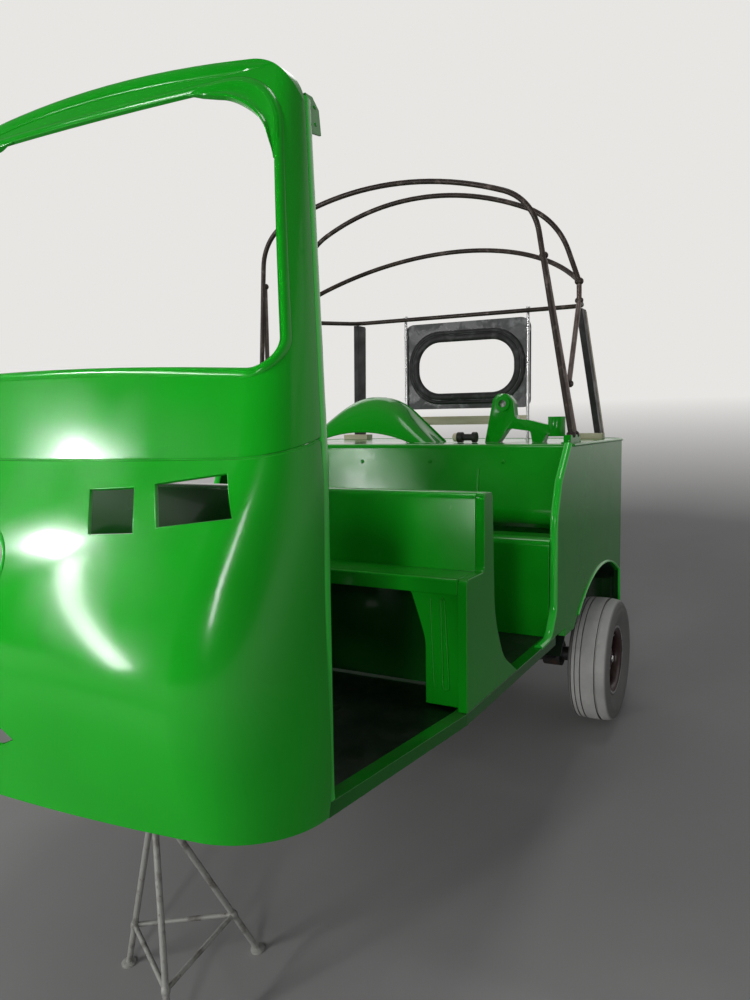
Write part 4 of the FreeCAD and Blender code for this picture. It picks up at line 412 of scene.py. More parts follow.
class Form:
    """A mesh under construction, in millimetres."""

    def __init__(self):
        self.mesh = bmesh.new()

    def ring(self, points):
        return [self.mesh.verts.new(point) for point in points]

    def skin(self, rings, closed=False, looped=True):
        """Faces between rings of equally many points, with caps where the rings are open-ended."""
        pairs = list(zip(rings, rings[1:]))
        if closed:
            pairs.append((rings[-1], rings[0]))
        for a, b in pairs:
            for i in range(len(a) if looped else len(a) - 1):
                j = (i + 1) % len(a)
                self.mesh.faces.new((a[i], a[j], b[j], b[i]))
        if not closed and looped:
            self.mesh.faces.new(rings[0])
            self.mesh.faces.new(list(reversed(rings[-1])))
        return self

    def sweep(self, path, profile, facing, closed=False):
        """A closed profile of (sideways, outward) points carried along a path.

        Sideways is to the left of the path's run, seen against the facing direction. The profile can be a
        function that gives one for each point's number.
        """
        rings = []
        for number, (point, out, side) in enumerate(frames(path, facing, closed)):
            shape = profile(number) if callable(profile) else profile
            rings.append(self.ring([point + side * u + out * v for u, v in shape]))
        return self.skin(rings, closed)

    def hem(self, surface, outline, profile, closed=True, **lay):
        """A profile carried along an outline that is laid on a surface."""
        path, out = surface.lay(outline, **lay)
        return self.sweep(path, profile, out, closed)

    def tube(self, path, radius, sides=8):
        """A round bar along a path."""
        return self.skin([self.ring([point + (out * c + side * s) * radius for c, s in around(sides)])
                          for point, out, side in frames(path)])

    def turned(self, centre, axis, profile, steps=32):
        """A profile of (radius, along) points turned about an axis."""
        axis = axis.normalized()
        out = axis.orthogonal().normalized()
        side = axis.cross(out)
        rings = []
        for c, s in around(steps):
            ray = out * c + side * s
            rings.append(self.ring([centre + ray * radius + axis * along for radius, along in profile]))
        return self.skin(rings, closed=True, looped=False)

    def bolt(self, centre, axis, radius, height):
        """A six-sided head on a washer."""
        washer = 1.5
        self.turned(centre, axis, [(0, -1), (1.55 * radius, -1), (1.55 * radius, washer), (0, washer)], 20)
        top = washer + height
        return self.turned(centre, axis,
                           [(0, 0), (radius, 0), (radius, top - 1), (radius - 1, top), (0, top)], 6)

    def rivet(self, centre, axis, radius):
        """A domed head."""
        dome = [(radius * cos(radians(a)), 0.6 * radius * sin(radians(a))) for a in (0, 20, 40, 60, 80)]
        return self.turned(centre, axis, [(0, -2), (radius, -2), *dome, (0, 0.6 * radius)], 16)

    def plate(self, corners, thickness):
        """A flat plate whose corners are grown by the thickness vector."""
        return self.skin([self.ring(corners), self.ring([Vector(corner) + thickness for corner in corners])])

    def block(self, low, high):
        x0, y0, z0 = low
        x1, y1, z1 = high
        return self.plate([(x0, y0, z0), (x1, y0, z0), (x1, y1, z0), (x0, y1, z0)], Vector((0, 0, z1 - z0)))

    def piece(self, name, slot="green_paint", body="body", replaces=(), bevel=0.0, angle=35.0, finish=None,
              frame_of=VEHICLE):
        """The finished piece, riding on its body."""
        bmesh.ops.remove_doubles(self.mesh, verts=self.mesh.verts, dist=0.001)
        bmesh.ops.recalc_face_normals(self.mesh, faces=self.mesh.faces)
        self.mesh.transform(frame_of)
        mesh = bpy.data.meshes.new(name)
        self.mesh.to_mesh(mesh)
        self.mesh.free()
        mesh.polygons.foreach_set("use_smooth", [True] * len(mesh.polygons))
        mesh.set_sharp_from_angle(angle=radians(angle))
        mesh.materials.append(MATERIALS[finish or slot])
        thing = bpy.data.objects.new(name, mesh)
        bpy.context.scene.collection.objects.link(thing)
        if bevel:
            round_edges(thing, bevel)
        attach(thing, body)
        if replaces:
            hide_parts(*replaces)


def round_edges(thing, radius, angle=40.0):
    rounding = thing.modifiers.new("rounded_edges", "BEVEL")
    rounding.width = radius * MM
    rounding.segments = 2
    rounding.limit_method = "ANGLE"
    rounding.angle_limit = radians(angle)
    rounding.harden_normals = True


def rounded(corners, steps, gap, closed=True):
    """An outline from corners that are (across, up) or (across, up, rounding).

    Each rounding takes the steps, and no two points are further apart than the gap.
    """
    points = []
    for i, corner in enumerate(corners):
        here = Vector(corner[:2])
        radius = corner[2] if len(corner) > 2 else 0
        if not radius:
            points.append(here)
            continue
        before = (Vector(corners[i - 1][:2]) - here).normalized()
        after = (Vector(corners[(i + 1) % len(corners)][:2]) - here).normalized()
        half = before.angle(after) / 2
        centre = here + (before + after).normalized() * (radius / sin(half))
        start, end = (here + way * (radius / tan(half)) - centre for way in (before, after))
        first = atan2(start.y, start.x)
        swing = (atan2(end.y, end.x) - first + pi) % (2 * pi) - pi
        for step in range(steps + 1):
            angle = first + swing * step / steps
            points.append(centre + Vector((cos(angle), sin(angle))) * radius)
    made = []
    for a, b in zip(points, points[1:] + points[:1] if closed else points[1:]):
        count = max(1, ceil((b - a).length / gap))
        made += [a.lerp(b, number / count) for number in range(count)]
    return made if closed else [*made, points[-1]]


def circle(across, up, radius):
    return [Vector((across + radius * c, up + radius * s)) for c, s in around(48)]


def mirrored(corners, side):
    """The corners for one side, always anticlockwise."""
    if side > 0:
        return list(corners)
    return [(-corner[0], *corner[1:]) for corner in reversed(corners)]


class Surface:
    """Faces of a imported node, met by rays in the vehicle's frame."""

    def __init__(self, name):
        mesh = NODES[name].data
        self.tree = BVHTree.FromPolygons([vertex.co.copy() for vertex in mesh.vertices],
                                         [list(face.vertices) for face in mesh.polygons])

    def meet(self, start, direction):
        """Where a ray first meets the surface, and the way the surface faces there."""
        direction = Vector(direction)
        spot, normal, _, _ = self.tree.ray_cast(VEHICLE @ Vector(start), TILT @ direction)
        if spot is None:
            raise ValueError(f"no surface from {tuple(start)} towards {tuple(direction)}")
        out = TILT.inverted() @ normal
        return TO_VEHICLE @ spot, -out if out.dot(direction) > 0 else out

    def lay(self, outline, start=2200.0):
        """An outline seen from the front, laid on the surface."""
        meets = [self.meet((start, across, up), -ALONG) for across, up in outline]
        return [spot for spot, _ in meets], [out for _, out in meets]


def bead(width, height):
    """Section of a pressed bead."""
    half = width / 2
    top = [(half * cos(radians(a)), height * sin(radians(a))) for a in range(0, 181, 30)]
    return [(-half, -1), (half, -1), *top]


def smooth(points, steps):
    """A smooth line through points."""
    made = []
    for i in range(len(points) - 1):
        a, b, c, d = points[max(i - 1, 0)], points[i], points[i + 1], points[min(i + 2, len(points) - 1)]
        for step in range(steps):
            t = step / steps
            made.append(0.5 * (2 * b + (c - a) * t + (2 * a - 5 * b + 4 * c - d) * t * t
                               + (3 * b - a - 3 * c + d) * t * t * t))
    return [*made, points[-1]]


# Nose and windscreen frame

# Corners of the holes, seen from the front: (across, up) or (across, up, rounding). The lamp's hole is given
# by its middle and radius
VENTS = (
    ((348, 660), (470, 676), (450, 739), (326, 722)),
    ((224, 645), (308, 650), (288, 716), (201, 711)),
)
SLOT = ((-83, 312, 0), (-46, 295, 40), (46, 295, 40), (83, 312, 0), (50, 337, 60), (-50, 337, 60))
LAMP_HOLE = (0, 585, 60)
SCREEN_OPENING = ((-499, 889.4, 38), (0, 914.4, 7500), (499, 889.4, 38), (400, 1372, 115), (-400, 1372, 115))
# Seam between nose and screen frame; foot of the rear edge and the heights of its line
SEAM_Z = 755.0
EDGE_X = 1700.0
EDGE_HEIGHTS = (206, 222, 260, 400, 550, 700, 748, 762, 800, 900, 1000, 1100, 1200, 1290, 1340)
# Pillar's fall back for each millimetre up; half widths at seam and header, and the header's height
PILLAR_LEAN = 0.24
EDGE_HALF, HEADER_HALF, HEADER_Z = 550.0, 425.0, 1436.0
# Header's crown and its fall beside the crown
HEADER_CROWN, HEADER_FALL = 2600.0, 0.12
# Rim pressed along the header: its middle below the top, half of its run, how far out its line is curved,
# the steps of half of it and how deep its ends sink
RIM_INSET, RIM_HALF, RIM_CURVED, RIM_STEPS, RIM_SINK = 14.0, 396.0, 312.0, 40, 4.6
# Webs in the opening's upper corners: where they begin (across, up) and how wide they get
WEB_FROM, WEB_WIDTH = (215.0, 1215.0), 30.0
# Section of a web: how far inward, the share of the web's width that is added, and how far outward
WEB = ((-7, 0, -1), (-7, 0, 4.4), (-2, 0, 5.6), (3, 0, 3.6), (3, 0.45, 2.4), (3, 0.6, 2.8), (3, 0.78, 5.4),
       (3, 0.94, 4.6), (3, 1, 1.0), (3, 1, -6), (-7, 0, -2))
# Rolled rear edges: half of their width and their depth; the header's lugs: how far they reach back
ROLL_HALF, ROLL_DEPTH, LUG_REACH = 11.0, 6.8, 44.0


def outward(outline, distance):
    """An anticlockwise outline moved outward, with mitred corners."""
    moved = []
    for i, point in enumerate(outline):
        before = (point - outline[i - 1]).normalized()
        after = (outline[(i + 1) % len(outline)] - point).normalized()
        across = Vector((before.y + after.y, -before.x - after.x))
        moved.append(point + across * (distance / (1 + max(before.dot(after), -0.6))))
    return moved


def edge_line(side, inset):
    """Rear edge of the nose shell and the pillar, from the foot up to the header."""
    points = []
    for z in EDGE_HEIGHTS:
        above = max(z - SEAM_Z, 0.0)
        half = EDGE_HALF - (EDGE_HALF - HEADER_HALF) * above / (HEADER_Z - SEAM_Z)
        foot = 8.0 if z < 210 else 2.0 if z < 230 else 0.0
        points.append(Vector((EDGE_X - PILLAR_LEAN * above - 11 - foot, side * (half - inset), z)))
    return points


class VEHICLE_OT_nose(bpy.types.Operator):
    """Rolls the lips of the nose's holes, the windscreen's flange, the header's rim and the corners' webs"""
    bl_idname = "vehicle.nose"
    bl_label = "Nose and screen frame"

    def execute(self, context):
        trim = context.scene.vehicle_trim
        nose, screen = Surface("nose_panel"), Surface("windscreen_frame")
        lip = [(0.4, -1), (1.0, 0.6 * trim.lip), (1.6, trim.lip), (2.2, 0.6 * trim.lip), (2.8, -1), (2.8, -7),
               (1.8, -7), (1.2, -2)]
        holes = [rounded(mirrored(vent, side), 3, 12) for vent in VENTS for side in SIDES]
        lips = Form()
        for hole in (*holes, rounded(SLOT, 6, 12)):
            lips.hem(nose, outward(hole, 2.5), lip)
        lips.piece("hole_lips")

        across, up, radius = LAMP_HOLE
        section = [(-3, -1), (-2.5, 1), (0, 2.2), (3, 2), (5.5, 0), (6.5, -16), (4.5, -16), (3.5, -2)]
        Form().hem(nose, circle(across, up, radius + 4), section).piece("lamp_ring")

        half = trim.flange / 2
        section = [(-half - 1, -1), (-half, 0.8), (-0.6 * half, 3), (0.1 * half, 4.2), (0.6 * half, 3.4),
                   (half, 0.5), (1.1 * half, -7), (0.8 * half, -8), (0.6 * half, -1)]
        outline = outward(rounded(SCREEN_OPENING, 10, 18), half)
        Form().hem(screen, outline, section).piece("screen_flange")

        line = []
        for step in range(-RIM_STEPS, RIM_STEPS + 1):
            y = RIM_HALF * step / RIM_STEPS
            curved = min(abs(y), RIM_CURVED)
            fall = HEADER_FALL * (abs(y) - curved) + curved ** 2 / (2 * HEADER_CROWN)
            line.append((y, HEADER_Z - RIM_INSET - fall))
        path, out = screen.lay(line)
        widths = [1 - 0.9 * (max(abs(y) / RIM_HALF - 0.6, 0.0) / 0.4) ** 2 for y, _ in line]
        sinking = [spot - normal * RIM_SINK * (1 - width) for spot, normal, width in zip(path, out, widths)]
        flat = [(-13, -2), (-12.5, 1.8), (-9, 3.6), (6, 4.2), (10.5, 3.4), (12.5, 1.6), (13, -2)]
        rim = Form().sweep(sinking, lambda number: [(u * widths[number], v) for u, v in flat], out)
        rim.piece("header_rim")

        webs = Form()
        opening = rounded(SCREEN_OPENING, 24, 7)
        for side in SIDES:
            corner = [point for point in opening if point.x * side > WEB_FROM[0] and point.y > WEB_FROM[1]]
            path, out = screen.lay(outward(corner, 1.5)[1:-1])
            shares = [sin(pi * number / (len(path) - 1)) ** 1.3 for number in range(len(path))]

            def section(number):
                reach = WEB_WIDTH * shares[number]
                lift = 0.15 + 0.85 * min(shares[number] * 4, 1.0)
                return [(u + reach * share, v * lift) for u, share, v in WEB]

            webs.sweep(path, section, out)
        webs.piece("corner_webs")
        return {"FINISHED"}


class VEHICLE_OT_edges(bpy.types.Operator):
    """Rolls the rear edges of the nose shell and pillars and adds the header's lugs"""
    bl_idname = "vehicle.edges"
    bl_label = "Door edges"

    def execute(self, context):
        section = [(ROLL_HALF * copysign(abs(c) ** 0.7, c), ROLL_DEPTH * copysign(abs(s) ** 0.8, s))
                   for c, s in around(14)]
        roll, lugs = Form(), Form()
        for side in SIDES:
            roll.sweep(smooth(edge_line(side, ROLL_DEPTH - 0.4), 3), section, ACROSS * side)
            low, high = edge_line(side, 5)[-2:]
            low, top = low - (high - low) * 0.15, high + (high - low) * 0.25
            reach = ALONG * -LUG_REACH
            corners = [low, low + reach + UP * 6, top + reach * 0.95 - UP * 16, top + reach * 0.5, top]
            lugs.plate(corners, ACROSS * side * -5)
            for share in (0.3, 0.75):
                lugs.rivet(low.lerp(top, share) + reach * 0.6, ACROSS * side, 4.0)
        roll.piece("door_edge_rolls", finish="roll_highlight_paint", replaces=("door_edges",), angle=50)
        lugs.piece("header_lugs", bevel=1.0)
        return {"FINISHED"}


# Cab, floor and rear seat

# Floor ribs: rear end, front end and places across
FLOOR_RIBS = ((1300, 1640, (-330, -165, 0, 165, 330)), (680, 1060, (-420, -210, 0, 210, 420)))
# Bead of the left seat leg, seen from the front, and the places of the backrest's screws
LEG_BEAD = ((537, 256, 7), (551, 256, 7), (541, 447, 7), (533, 447, 7))
SCREWS = ((-310, 687), (-72, 685), (166, 688), (401, 690))
# Place along from where rays look back at the rear panels
CAB_MIDDLE = 900.0


class VEHICLE_OT_cab(bpy.types.Operator):
    """Presses the floor's ribs, the seat legs' beads and the rear panels' beads and screws"""
    bl_idname = "vehicle.cab"
    bl_label = "Cab"

    def execute(self, context):
        rib = context.scene.vehicle_trim.rib
        floor_z = span("floor_pan")[1].z
        ribs = Form()
        for first, last, places in FLOOR_RIBS:
            for y in places:
                path = [Vector((first + (last - first) * n / 12, y, floor_z - (rib if n in (0, 12) else 0)))
                        for n in range(13)]
                ribs.sweep(path, bead(30, rib), UP)
        ribs.piece("floor_ribs", "inner_paint")

        legs = Form()
        front = span("seat_legs")[1].x
        for side in SIDES:
            loop = rounded(mirrored(LEG_BEAD, side), 5, 20)
            path = [Vector((front, across, up)) for across, up in loop]
            legs.sweep(path, bead(5, 2.6), ALONG, closed=True)
            line = [Vector((front, side * (509 + n), 447 - 23.75 * n)) for n in range(9)]
            legs.sweep(line, bead(4, 1.6), ALONG)
        legs.piece("leg_beads")

        backrest, riser = Surface("backrest_panel"), Surface("rear_riser")
        screws, beads = Form(), Form()
        for y, z in SCREWS:
            screws.rivet(*backrest.meet((CAB_MIDDLE, y, z), -ALONG), 6.5)
        screws.piece("backrest_screws")
        for y in (-326, 326):
            beads.hem(backrest, [(y, 560 + 11 * n) for n in range(11)], bead(9, 2.4), False, start=CAB_MIDDLE)
        for y in (-380, -190, 0, 190, 380):
            beads.hem(riser, [(y, 260 + 19 * n) for n in range(11)], bead(16, 3), False, start=CAB_MIDDLE)
        beads.piece("rear_beads")
        return {"FINISHED"}


# Outer side panels

# Front edge of the rear side panel, seen from the side: (along, up, rounding), from the belt down
DOOR_REAR = ((452, 742, 0), (550, 640, 60), (590, 540, 120), (590, 290, 50), (640, 226, 60), (728, 224, 0))
# Wheel arch: its middle along and up, and its radius
ARCH = (30.0, -248.0, 580.0)
# Top of the sills, rounding of the body's rear corners and front end of the belt's bead
SILL_TOP, CORNER, BELT_FRONT = 224.0, 80.0, 430.0
PANEL_ROLL = ((-10.6, -5), (-10.6, 0), (-8, 3.5), (-3, 5.2), (3, 5.2), (8, 3.5), (10.6, 0), (10.6, -5))


class VEHICLE_OT_sides(bpy.types.Operator):
    """Rolls the edges of the side panels, wheel arches and belt line"""
    bl_idname = "vehicle.sides"
    bl_label = "Side panels"

    def execute(self, context):
        low, high = span("quarter_panel_left")
        door = rounded(DOOR_REAR, 8, 25, closed=False)
        x, z, radius = ARCH
        rolls = Form()
        for side in SIDES:
            path = [Vector((x, side * (high.y - 10), z)) for x, z in door]
            outs = [-way for _, _, way in frames(path, ACROSS)]
            rolls.sweep(path, PANEL_ROLL, [out if out.x > 0 or out.z > 0.4 else -out for out in outs])
            arc = [Vector((x + radius * cos(swing), side * (high.y + 0.3), z + radius * sin(swing)))
                   for swing in (radians(50 + 73 * number / 40) for number in range(41))]
            arc = [point for point in arc if point.z > SILL_TOP and point.x > low.x + CORNER]
            arc.append(Vector((low.x + CORNER, side * (high.y + 0.3), low.z + 4)))
            rolls.tube(arc, 4.5)
        rolls.piece("panel_rolls", finish="roll_highlight_paint")

        plan = rounded([(BELT_FRONT, high.y), (low.x, high.y, CORNER), (low.x, -high.y, CORNER),
                        (BELT_FRONT, -high.y)], 10, 60, closed=False)
        belt = [Vector((x, y, high.z - 3)) for x, y in plan]
        Form().tube(belt, 5.0).piece("belt_bead")
        return {"FINISHED"}


# Engine lid

# Hem seen from behind, from the right bottom corner; louvres: count, distance, half width and place up
LID_HEM = ((-384, 306, 20), (384, 306, 20), (384, 634, 20), (-384, 634, 20))
LOUVRES, LOUVRE_GAP, LOUVRE_HALF, LOUVRE_Z = 9, 60, 22, 580
LATCH_Z = 332


class VEHICLE_OT_lid(bpy.types.Operator):
    """Hems the engine lid and adds its louvres and latch"""
    bl_idname = "vehicle.lid"
    bl_label = "Engine lid"

    def execute(self, context):
        sheet_x = span("tail_panel")[0].x - 7.0
        path = [Vector((sheet_x, across, up)) for across, up in rounded(LID_HEM, 6, 60)]
        Form().sweep(path, bead(9, 2.6), -ALONG, closed=True).piece("lid_hem", body="lid")

        louvres = Form()
        for number in range(LOUVRES):
            y = LOUVRE_GAP * (number - (LOUVRES - 1) / 2)
            rings = []
            for n in range(-4, 5):
                point = Vector((sheet_x, y + LOUVRE_HALF * n / 4, LOUVRE_Z))
                share = sqrt(max(0.0, 1 - (n / 4.4) ** 2))
                shape = ((0, 14), (-7 * share, 14 * share), (-8 * share, -6 * share), (0, -14 * share),
                         (0.5, -12 * share))
                rings.append(louvres.ring([point + ALONG * u + UP * v for u, v in shape]))
            louvres.skin(rings)
        louvres.piece("lid_louvres", body="lid")

        latch = Form()
        latch.turned(Vector((sheet_x, 0, LATCH_Z)), -ALONG, [(0, -2), (22, -2), (22, 3), (19, 5), (0, 5)])
        latch.turned(Vector((sheet_x, 0, LATCH_Z)), -ALONG, [(0, 5), (9, 5), (9, 13), (7, 15), (0, 15)], 24)
        latch.block((sheet_x - 19, -24, LATCH_Z - 5), (sheet_x - 12, 24, LATCH_Z + 5))
        latch.piece("lid_latch", "bright_metal", body="lid", bevel=1.0)
        return {"FINISHED"}


# Wheels

# Sections from the wheel's middle plane, + away from the vehicle: (radius, along)
TREAD = (
    (120, -47), (140, -58), (165, -65.5), (180, -65), (190, -62), (197.5, -56.5), (201.5, -52.5),
    (202.5, -51.5), (196, -51), (196, -48.5), (203, -48), (203.5, -39), (197, -38.5), (197, -35.5),
    (203.8, -35), (204.4, -22), (197, -21.5), (197, -18), (204.6, -17.5), (205, 0), (204.6, 23),
    (197, 23.5), (197, 29.5), (204, 30), (202.5, 44), (200, 52), (195, 58), (188, 62.5), (181, 64.4),
    (176, 64), (174, 65.5), (162, 66), (158, 64.8), (148, 63.5), (136, 59), (126, 52), (118, 48.5),
    (110, 46), (101.5, 44.6), (101.5, -44.6), (110, -46),
)
DISH = (
    (112, 50), (112, 46.5), (105, 45), (99, 42), (95, 36), (94.5, 8), (91, 3), (84, 0), (72, 2),
    (60, 10), (52, 16), (42, 18), (36, 18), (34, 26), (31, 33), (24, 37), (8, 38), (0, 38), (0, 20),
    (30, 14), (50, 11), (60, 4), (72, -3), (90, -4), (94, -10), (94.5, -34), (98, -42), (105, -45),
    (112, -46.5), (112, -50), (108, -50), (97, -47), (91, -40), (90, 30), (91, 40), (97, 47), (108, 50),
)
DRUM = ((0, -46), (60, -48), (84, -46), (84, -8), (80, -6), (80, -12), (0, -12))
RIM_EDGE = ((108, 49), (113, 48), (115, 49.5), (114.5, 51.5), (110, 52), (108, 51))
NUTS, NUT_RING = 5, 50
# Valve: its place round the rim in radians, and its line
VALVE_AT, VALVE = 1.9, ((88, 14), (84, 24), (80, 40))


class VEHICLE_OT_wheels(bpy.types.Operator):
    """Makes the grooved tyres and the dished rims with their nuts, drums and valves"""
    bl_idname = "vehicle.wheels"
    bl_label = "Wheels"

    def execute(self, context):
        low, high = span("tyre_left")
        for name, side in zip(("left", "right"), SIDES):
            body = f"wheel_{name}"
            centre, axis = Vector((0, side * (low.y + high.y) / 2, 0)), ACROSS * side
            tyre = Form().turned(centre, axis, [*TREAD, TREAD[0]], 96)
            tyre.piece(f"grooved_tyre_{name}", "tyre", body, (f"tyre_{name}",), angle=40)
            rim = Form().turned(centre, axis, [*DISH, DISH[0]], 72)
            rim.piece(f"dished_rim_{name}", "rim", body, (f"rim_{name}",), angle=40)

            drum = Form().turned(centre, axis, DRUM, 64)
            for along in (-38, -26, -14):
                rib = [(83, along), (87, along + 1.5), (87, along + 4), (83, along + 5.5)]
                drum.turned(centre, axis, rib, 64)
            drum.piece(f"brake_drum_{name}", "rim", body, finish="chassis_paint")

            nuts = Form()
            for c, s in around(NUTS, 0.3):
                nuts.bolt(centre + (ALONG * c + UP * s) * NUT_RING + axis * 17, axis, 8.5, 9)
            nuts.turned(centre + axis * 37, axis, [(0, 0), (12, 0), (12, 4), (9, 7), (0, 8)], 24)
            ray = ALONG * cos(VALVE_AT) + UP * sin(VALVE_AT)
            nuts.tube([centre + ray * out + axis * along for out, along in VALVE], 3.4, 10)
            nuts.piece(f"wheel_nuts_{name}", "bright_metal", body)
            Form().turned(centre, axis, RIM_EDGE, 96).piece(f"rim_edge_{name}", "bright_metal", body)
        return {"FINISHED"}


# Suspension and engine

# Section of a damper, (radius, up) from its foot and (radius, down) from its top
DAMPER_FOOT = ((0, 0), (18, 0), (18, 30), (32, 32), (32, 37), (20, 39), (20, 150), (17, 153), (8, 154))
DAMPER_TOP = ((8, 24), (16, 22), (32, 20), (32, 14), (14, 12), (14, 0), (0, 0))
SPRING_RADIUS, SPRING_WIRE = 28, 4.2


class VEHICLE_OT_suspension(bpy.types.Operator):
    """Winds the springs round their dampers"""
    bl_idname = "vehicle.suspension"
    bl_label = "Suspension"

    def execute(self, context):
        coils = context.scene.vehicle_trim.coils
        low, high = span("shocks")
        centre_x, centre_y = (low.x + high.x) / 2, high.y - (high.x - low.x) / 2
        foot, top = low.z + 6, high.z - 1
        section = [(radius, foot + up) for radius, up in DAMPER_FOOT]
        section += [(radius, top - down) for radius, down in DAMPER_TOP]
        start, end = foot + 41, top - 24
        turns = coils * 18
        dampers, springs = Form(), Form()
        for side in SIDES:
            base = Vector((centre_x, side * centre_y, 0))
            dampers.turned(base, UP, section)
            path = []
            for number in range(turns + 1):
                share = number / turns
                swing = 2 * pi * coils * share
                ray = ALONG * cos(swing) + ACROSS * sin(swing)
                path.append(base + ray * SPRING_RADIUS + UP * (start + (end - start) * share))
            springs.tube(path, SPRING_WIRE)
        dampers.piece("dampers", "chassis_paint", replaces=("shocks",))
        springs.piece("coil_springs", "chassis_paint")
        return {"FINISHED"}


FINS, FIN_GAP = 9, 13


class VEHICLE_OT_engine(bpy.types.Operator):
    """Makes the engine's case with its bell, the cylinder's fins and the covers"""
    bl_idname = "vehicle.engine"
    bl_label = "Engine"

    def execute(self, context):
        low, high = span("engine_block")
        middle = (low + high) / 2
        case = Form()
        case.block((low.x + 20, low.y + 46, low.z + 14), (high.x - 90, high.y - 46, middle.z + 10))
        case.block((low.x + 50, low.y + 20, low.z + 40), (high.x - 130, high.y - 20, middle.z - 12))
        case.turned(Vector((high.x - 96, 0, middle.z - 40)), ALONG,
                    [(0, 0), (86, 0), (86, 16), (72, 26), (58, 92), (30, 95), (0, 95)], 40)
        case.piece("engine_case", "engine", replaces=("engine_block",), bevel=5.0)

        fins = Form()
        for number in range(FINS):
            z = middle.z + 16 + FIN_GAP * number
            inset = 54 if number > 6 else 44
            fins.block((low.x + inset, low.y + 62, z), (high.x - 110 - 0.3 * inset, high.y - 62, z + 4))
        fins.block((low.x + 62, low.y + 84, middle.z + 8), (high.x - 132, high.y - 84, high.z - 3))
        fins.piece("cylinder_fins", "engine", bevel=1.2)

        cover = Form()
        centre = Vector((middle.x - 40, high.y - 44, middle.z - 42))
        cover.turned(centre, ACROSS, [(0, 0), (84, 0), (84, 16), (76, 26), (40, 34), (18, 38), (0, 38)], 48)
        for c, s in around(8):
            cover.bolt(centre + ACROSS * 15 + (ALONG * c + UP * s) * 78, ACROSS, 4.5, 4)
        for side in SIDES:
            cover.turned(ACROSS * side * (high.y - 24), ACROSS * side,
                         [(0, -20), (46, -20), (46, -4), (40, 0), (30, 20), (0, 22)])
        cover.bolt(Vector((middle.x - 20, 0, low.z + 13)), -UP, 12, 8)
        cover.piece("engine_covers", "engine", bevel=0.8)
        return {"FINISHED"}


# Hood frame

# Joints of the left rods: place along, across and up, and the head's radius
JOINTS = ((330, 567, 765, 9), (278, 565, 765, 9), (380, 495, 1285, 8), (125, 535, 1245, 9),
          (122, 535, 1186, 8), (280, 546, 918, 9))
PIVOT_Y = 571


class VEHICLE_OT_hood(bpy.types.Operator):
    """Adds the rivets and eyes of the hood's rods and the bolts of their pivots"""
    bl_idname = "vehicle.hood"
    bl_label = "Hood joints"

    def execute(self, context):
        low, high = span("hood_pivots")
        joints, bolts = Form(), Form()
        for side in SIDES:
            for x, y, z, radius in JOINTS:
                centre = Vector((x, side * y, z))
                for way in (ACROSS, -ACROSS):
                    joints.rivet(centre + way * 8.5, way, radius)
                joints.turned(centre, ACROSS, [(0, -8), (radius + 2, -8), (radius + 2, 8), (0, 8)], 20)
            for x in (low.x + 9, high.x - 9):
                bolts.bolt(Vector((x, side * PIVOT_Y, low.z + 4)), UP, 4.5, 3.5)
        joints.piece("hood_rivets", "hood_rod", bevel=0.8)
        bolts.piece("pivot_bolts")
        return {"FINISHED"}


# Rear window's rubber: rounding of its outer edge, its section, and the strip in it with its height
RUBBER_ROUND = 133.4
RUBBER = ((0, 0), (0.5, 4.5), (4, 7.5), (9, 8.5), (13, 7), (15, 4), (17.5, 4), (19.5, 7.2), (25, 9.4),
          (33, 9.2), (39, 6.5), (43, 2.5), (43.5, 0))
STRIP, STRIP_UP = ((14.6, -0.5), (14.8, 0.8), (16.2, 1.4), (17.6, 0.8), (17.8, -0.5)), 4.6
# Section of a board's cream edge, (along, across) from its back corner, and the clamps' heights on the poles
BOARD_EDGE = ((-1.2, 1.2), (15, 1.2), (15, -6), (-1.2, -23.2))
CLAMP_HEIGHTS = (905, 1150)


class VEHICLE_OT_window(bpy.types.Operator):
    """Makes the rear window's rubber, the boards' cream edges and the poles' clamps"""
    bl_idname = "vehicle.window"
    bl_label = "Rear window and boards"

    def execute(self, context):
        low, high = span("window_seal")
        outline = rounded([(y, z, RUBBER_ROUND) for y, z in (
            (low.y, low.z), (high.y, low.z), (high.y, high.z), (low.y, high.z))], 14, 40)
        path = [Vector((low.x, across, up)) for across, up in outline]
        rubber = Form().sweep(path, RUBBER, ALONG, closed=True)
        rubber.piece("window_rubber", "seal_rubber", replaces=("window_seal",))
        strip = Form().sweep([point + ALONG * STRIP_UP for point in path], STRIP, ALONG, closed=True)
        strip.piece("rubber_strip", "seal_rubber", finish="dusty_panel")

        edges = Form()
        low, high = span("side_boards")
        surface = Surface("side_boards")
        for side in SIDES:
            rings = []
            for number in range(9):
                z = low.z + 3 + (high.z - low.z - 8) * number / 8
                share = (z - low.z) / (high.z - low.z)
                spot, _ = surface.meet((86 * share - 332, side * 700, z), -ACROSS * side)
                back, _ = surface.meet((-900, spot.y - side * 10, z), ALONG)
                rings.append(edges.ring([(back.x + x, side * (abs(spot.y) + y), z) for x, y in BOARD_EDGE]))
            edges.skin(rings)
        edges.piece("board_edges", "cream_wood", bevel=0.6)

        clamps = Form()
        low, high = span("window_poles")
        for side in SIDES:
            base = Vector((low.x + 6, side * (high.y - 6), 0))
            for z in (low.z + 60, *CLAMP_HEIGHTS, high.z - 4):
                clamps.turned(base + UP * z, UP, [(6, -6), (8, -6), (8, 6), (6, 6)], 20)
            clamps.turned(base + UP * low.z, UP, [(0, 0), (13, 0), (13, 3), (7, 5), (0, 5)], 24)
        clamps.piece("pole_clamps", "bright_metal")
        return {"FINISHED"}


# Loose parts

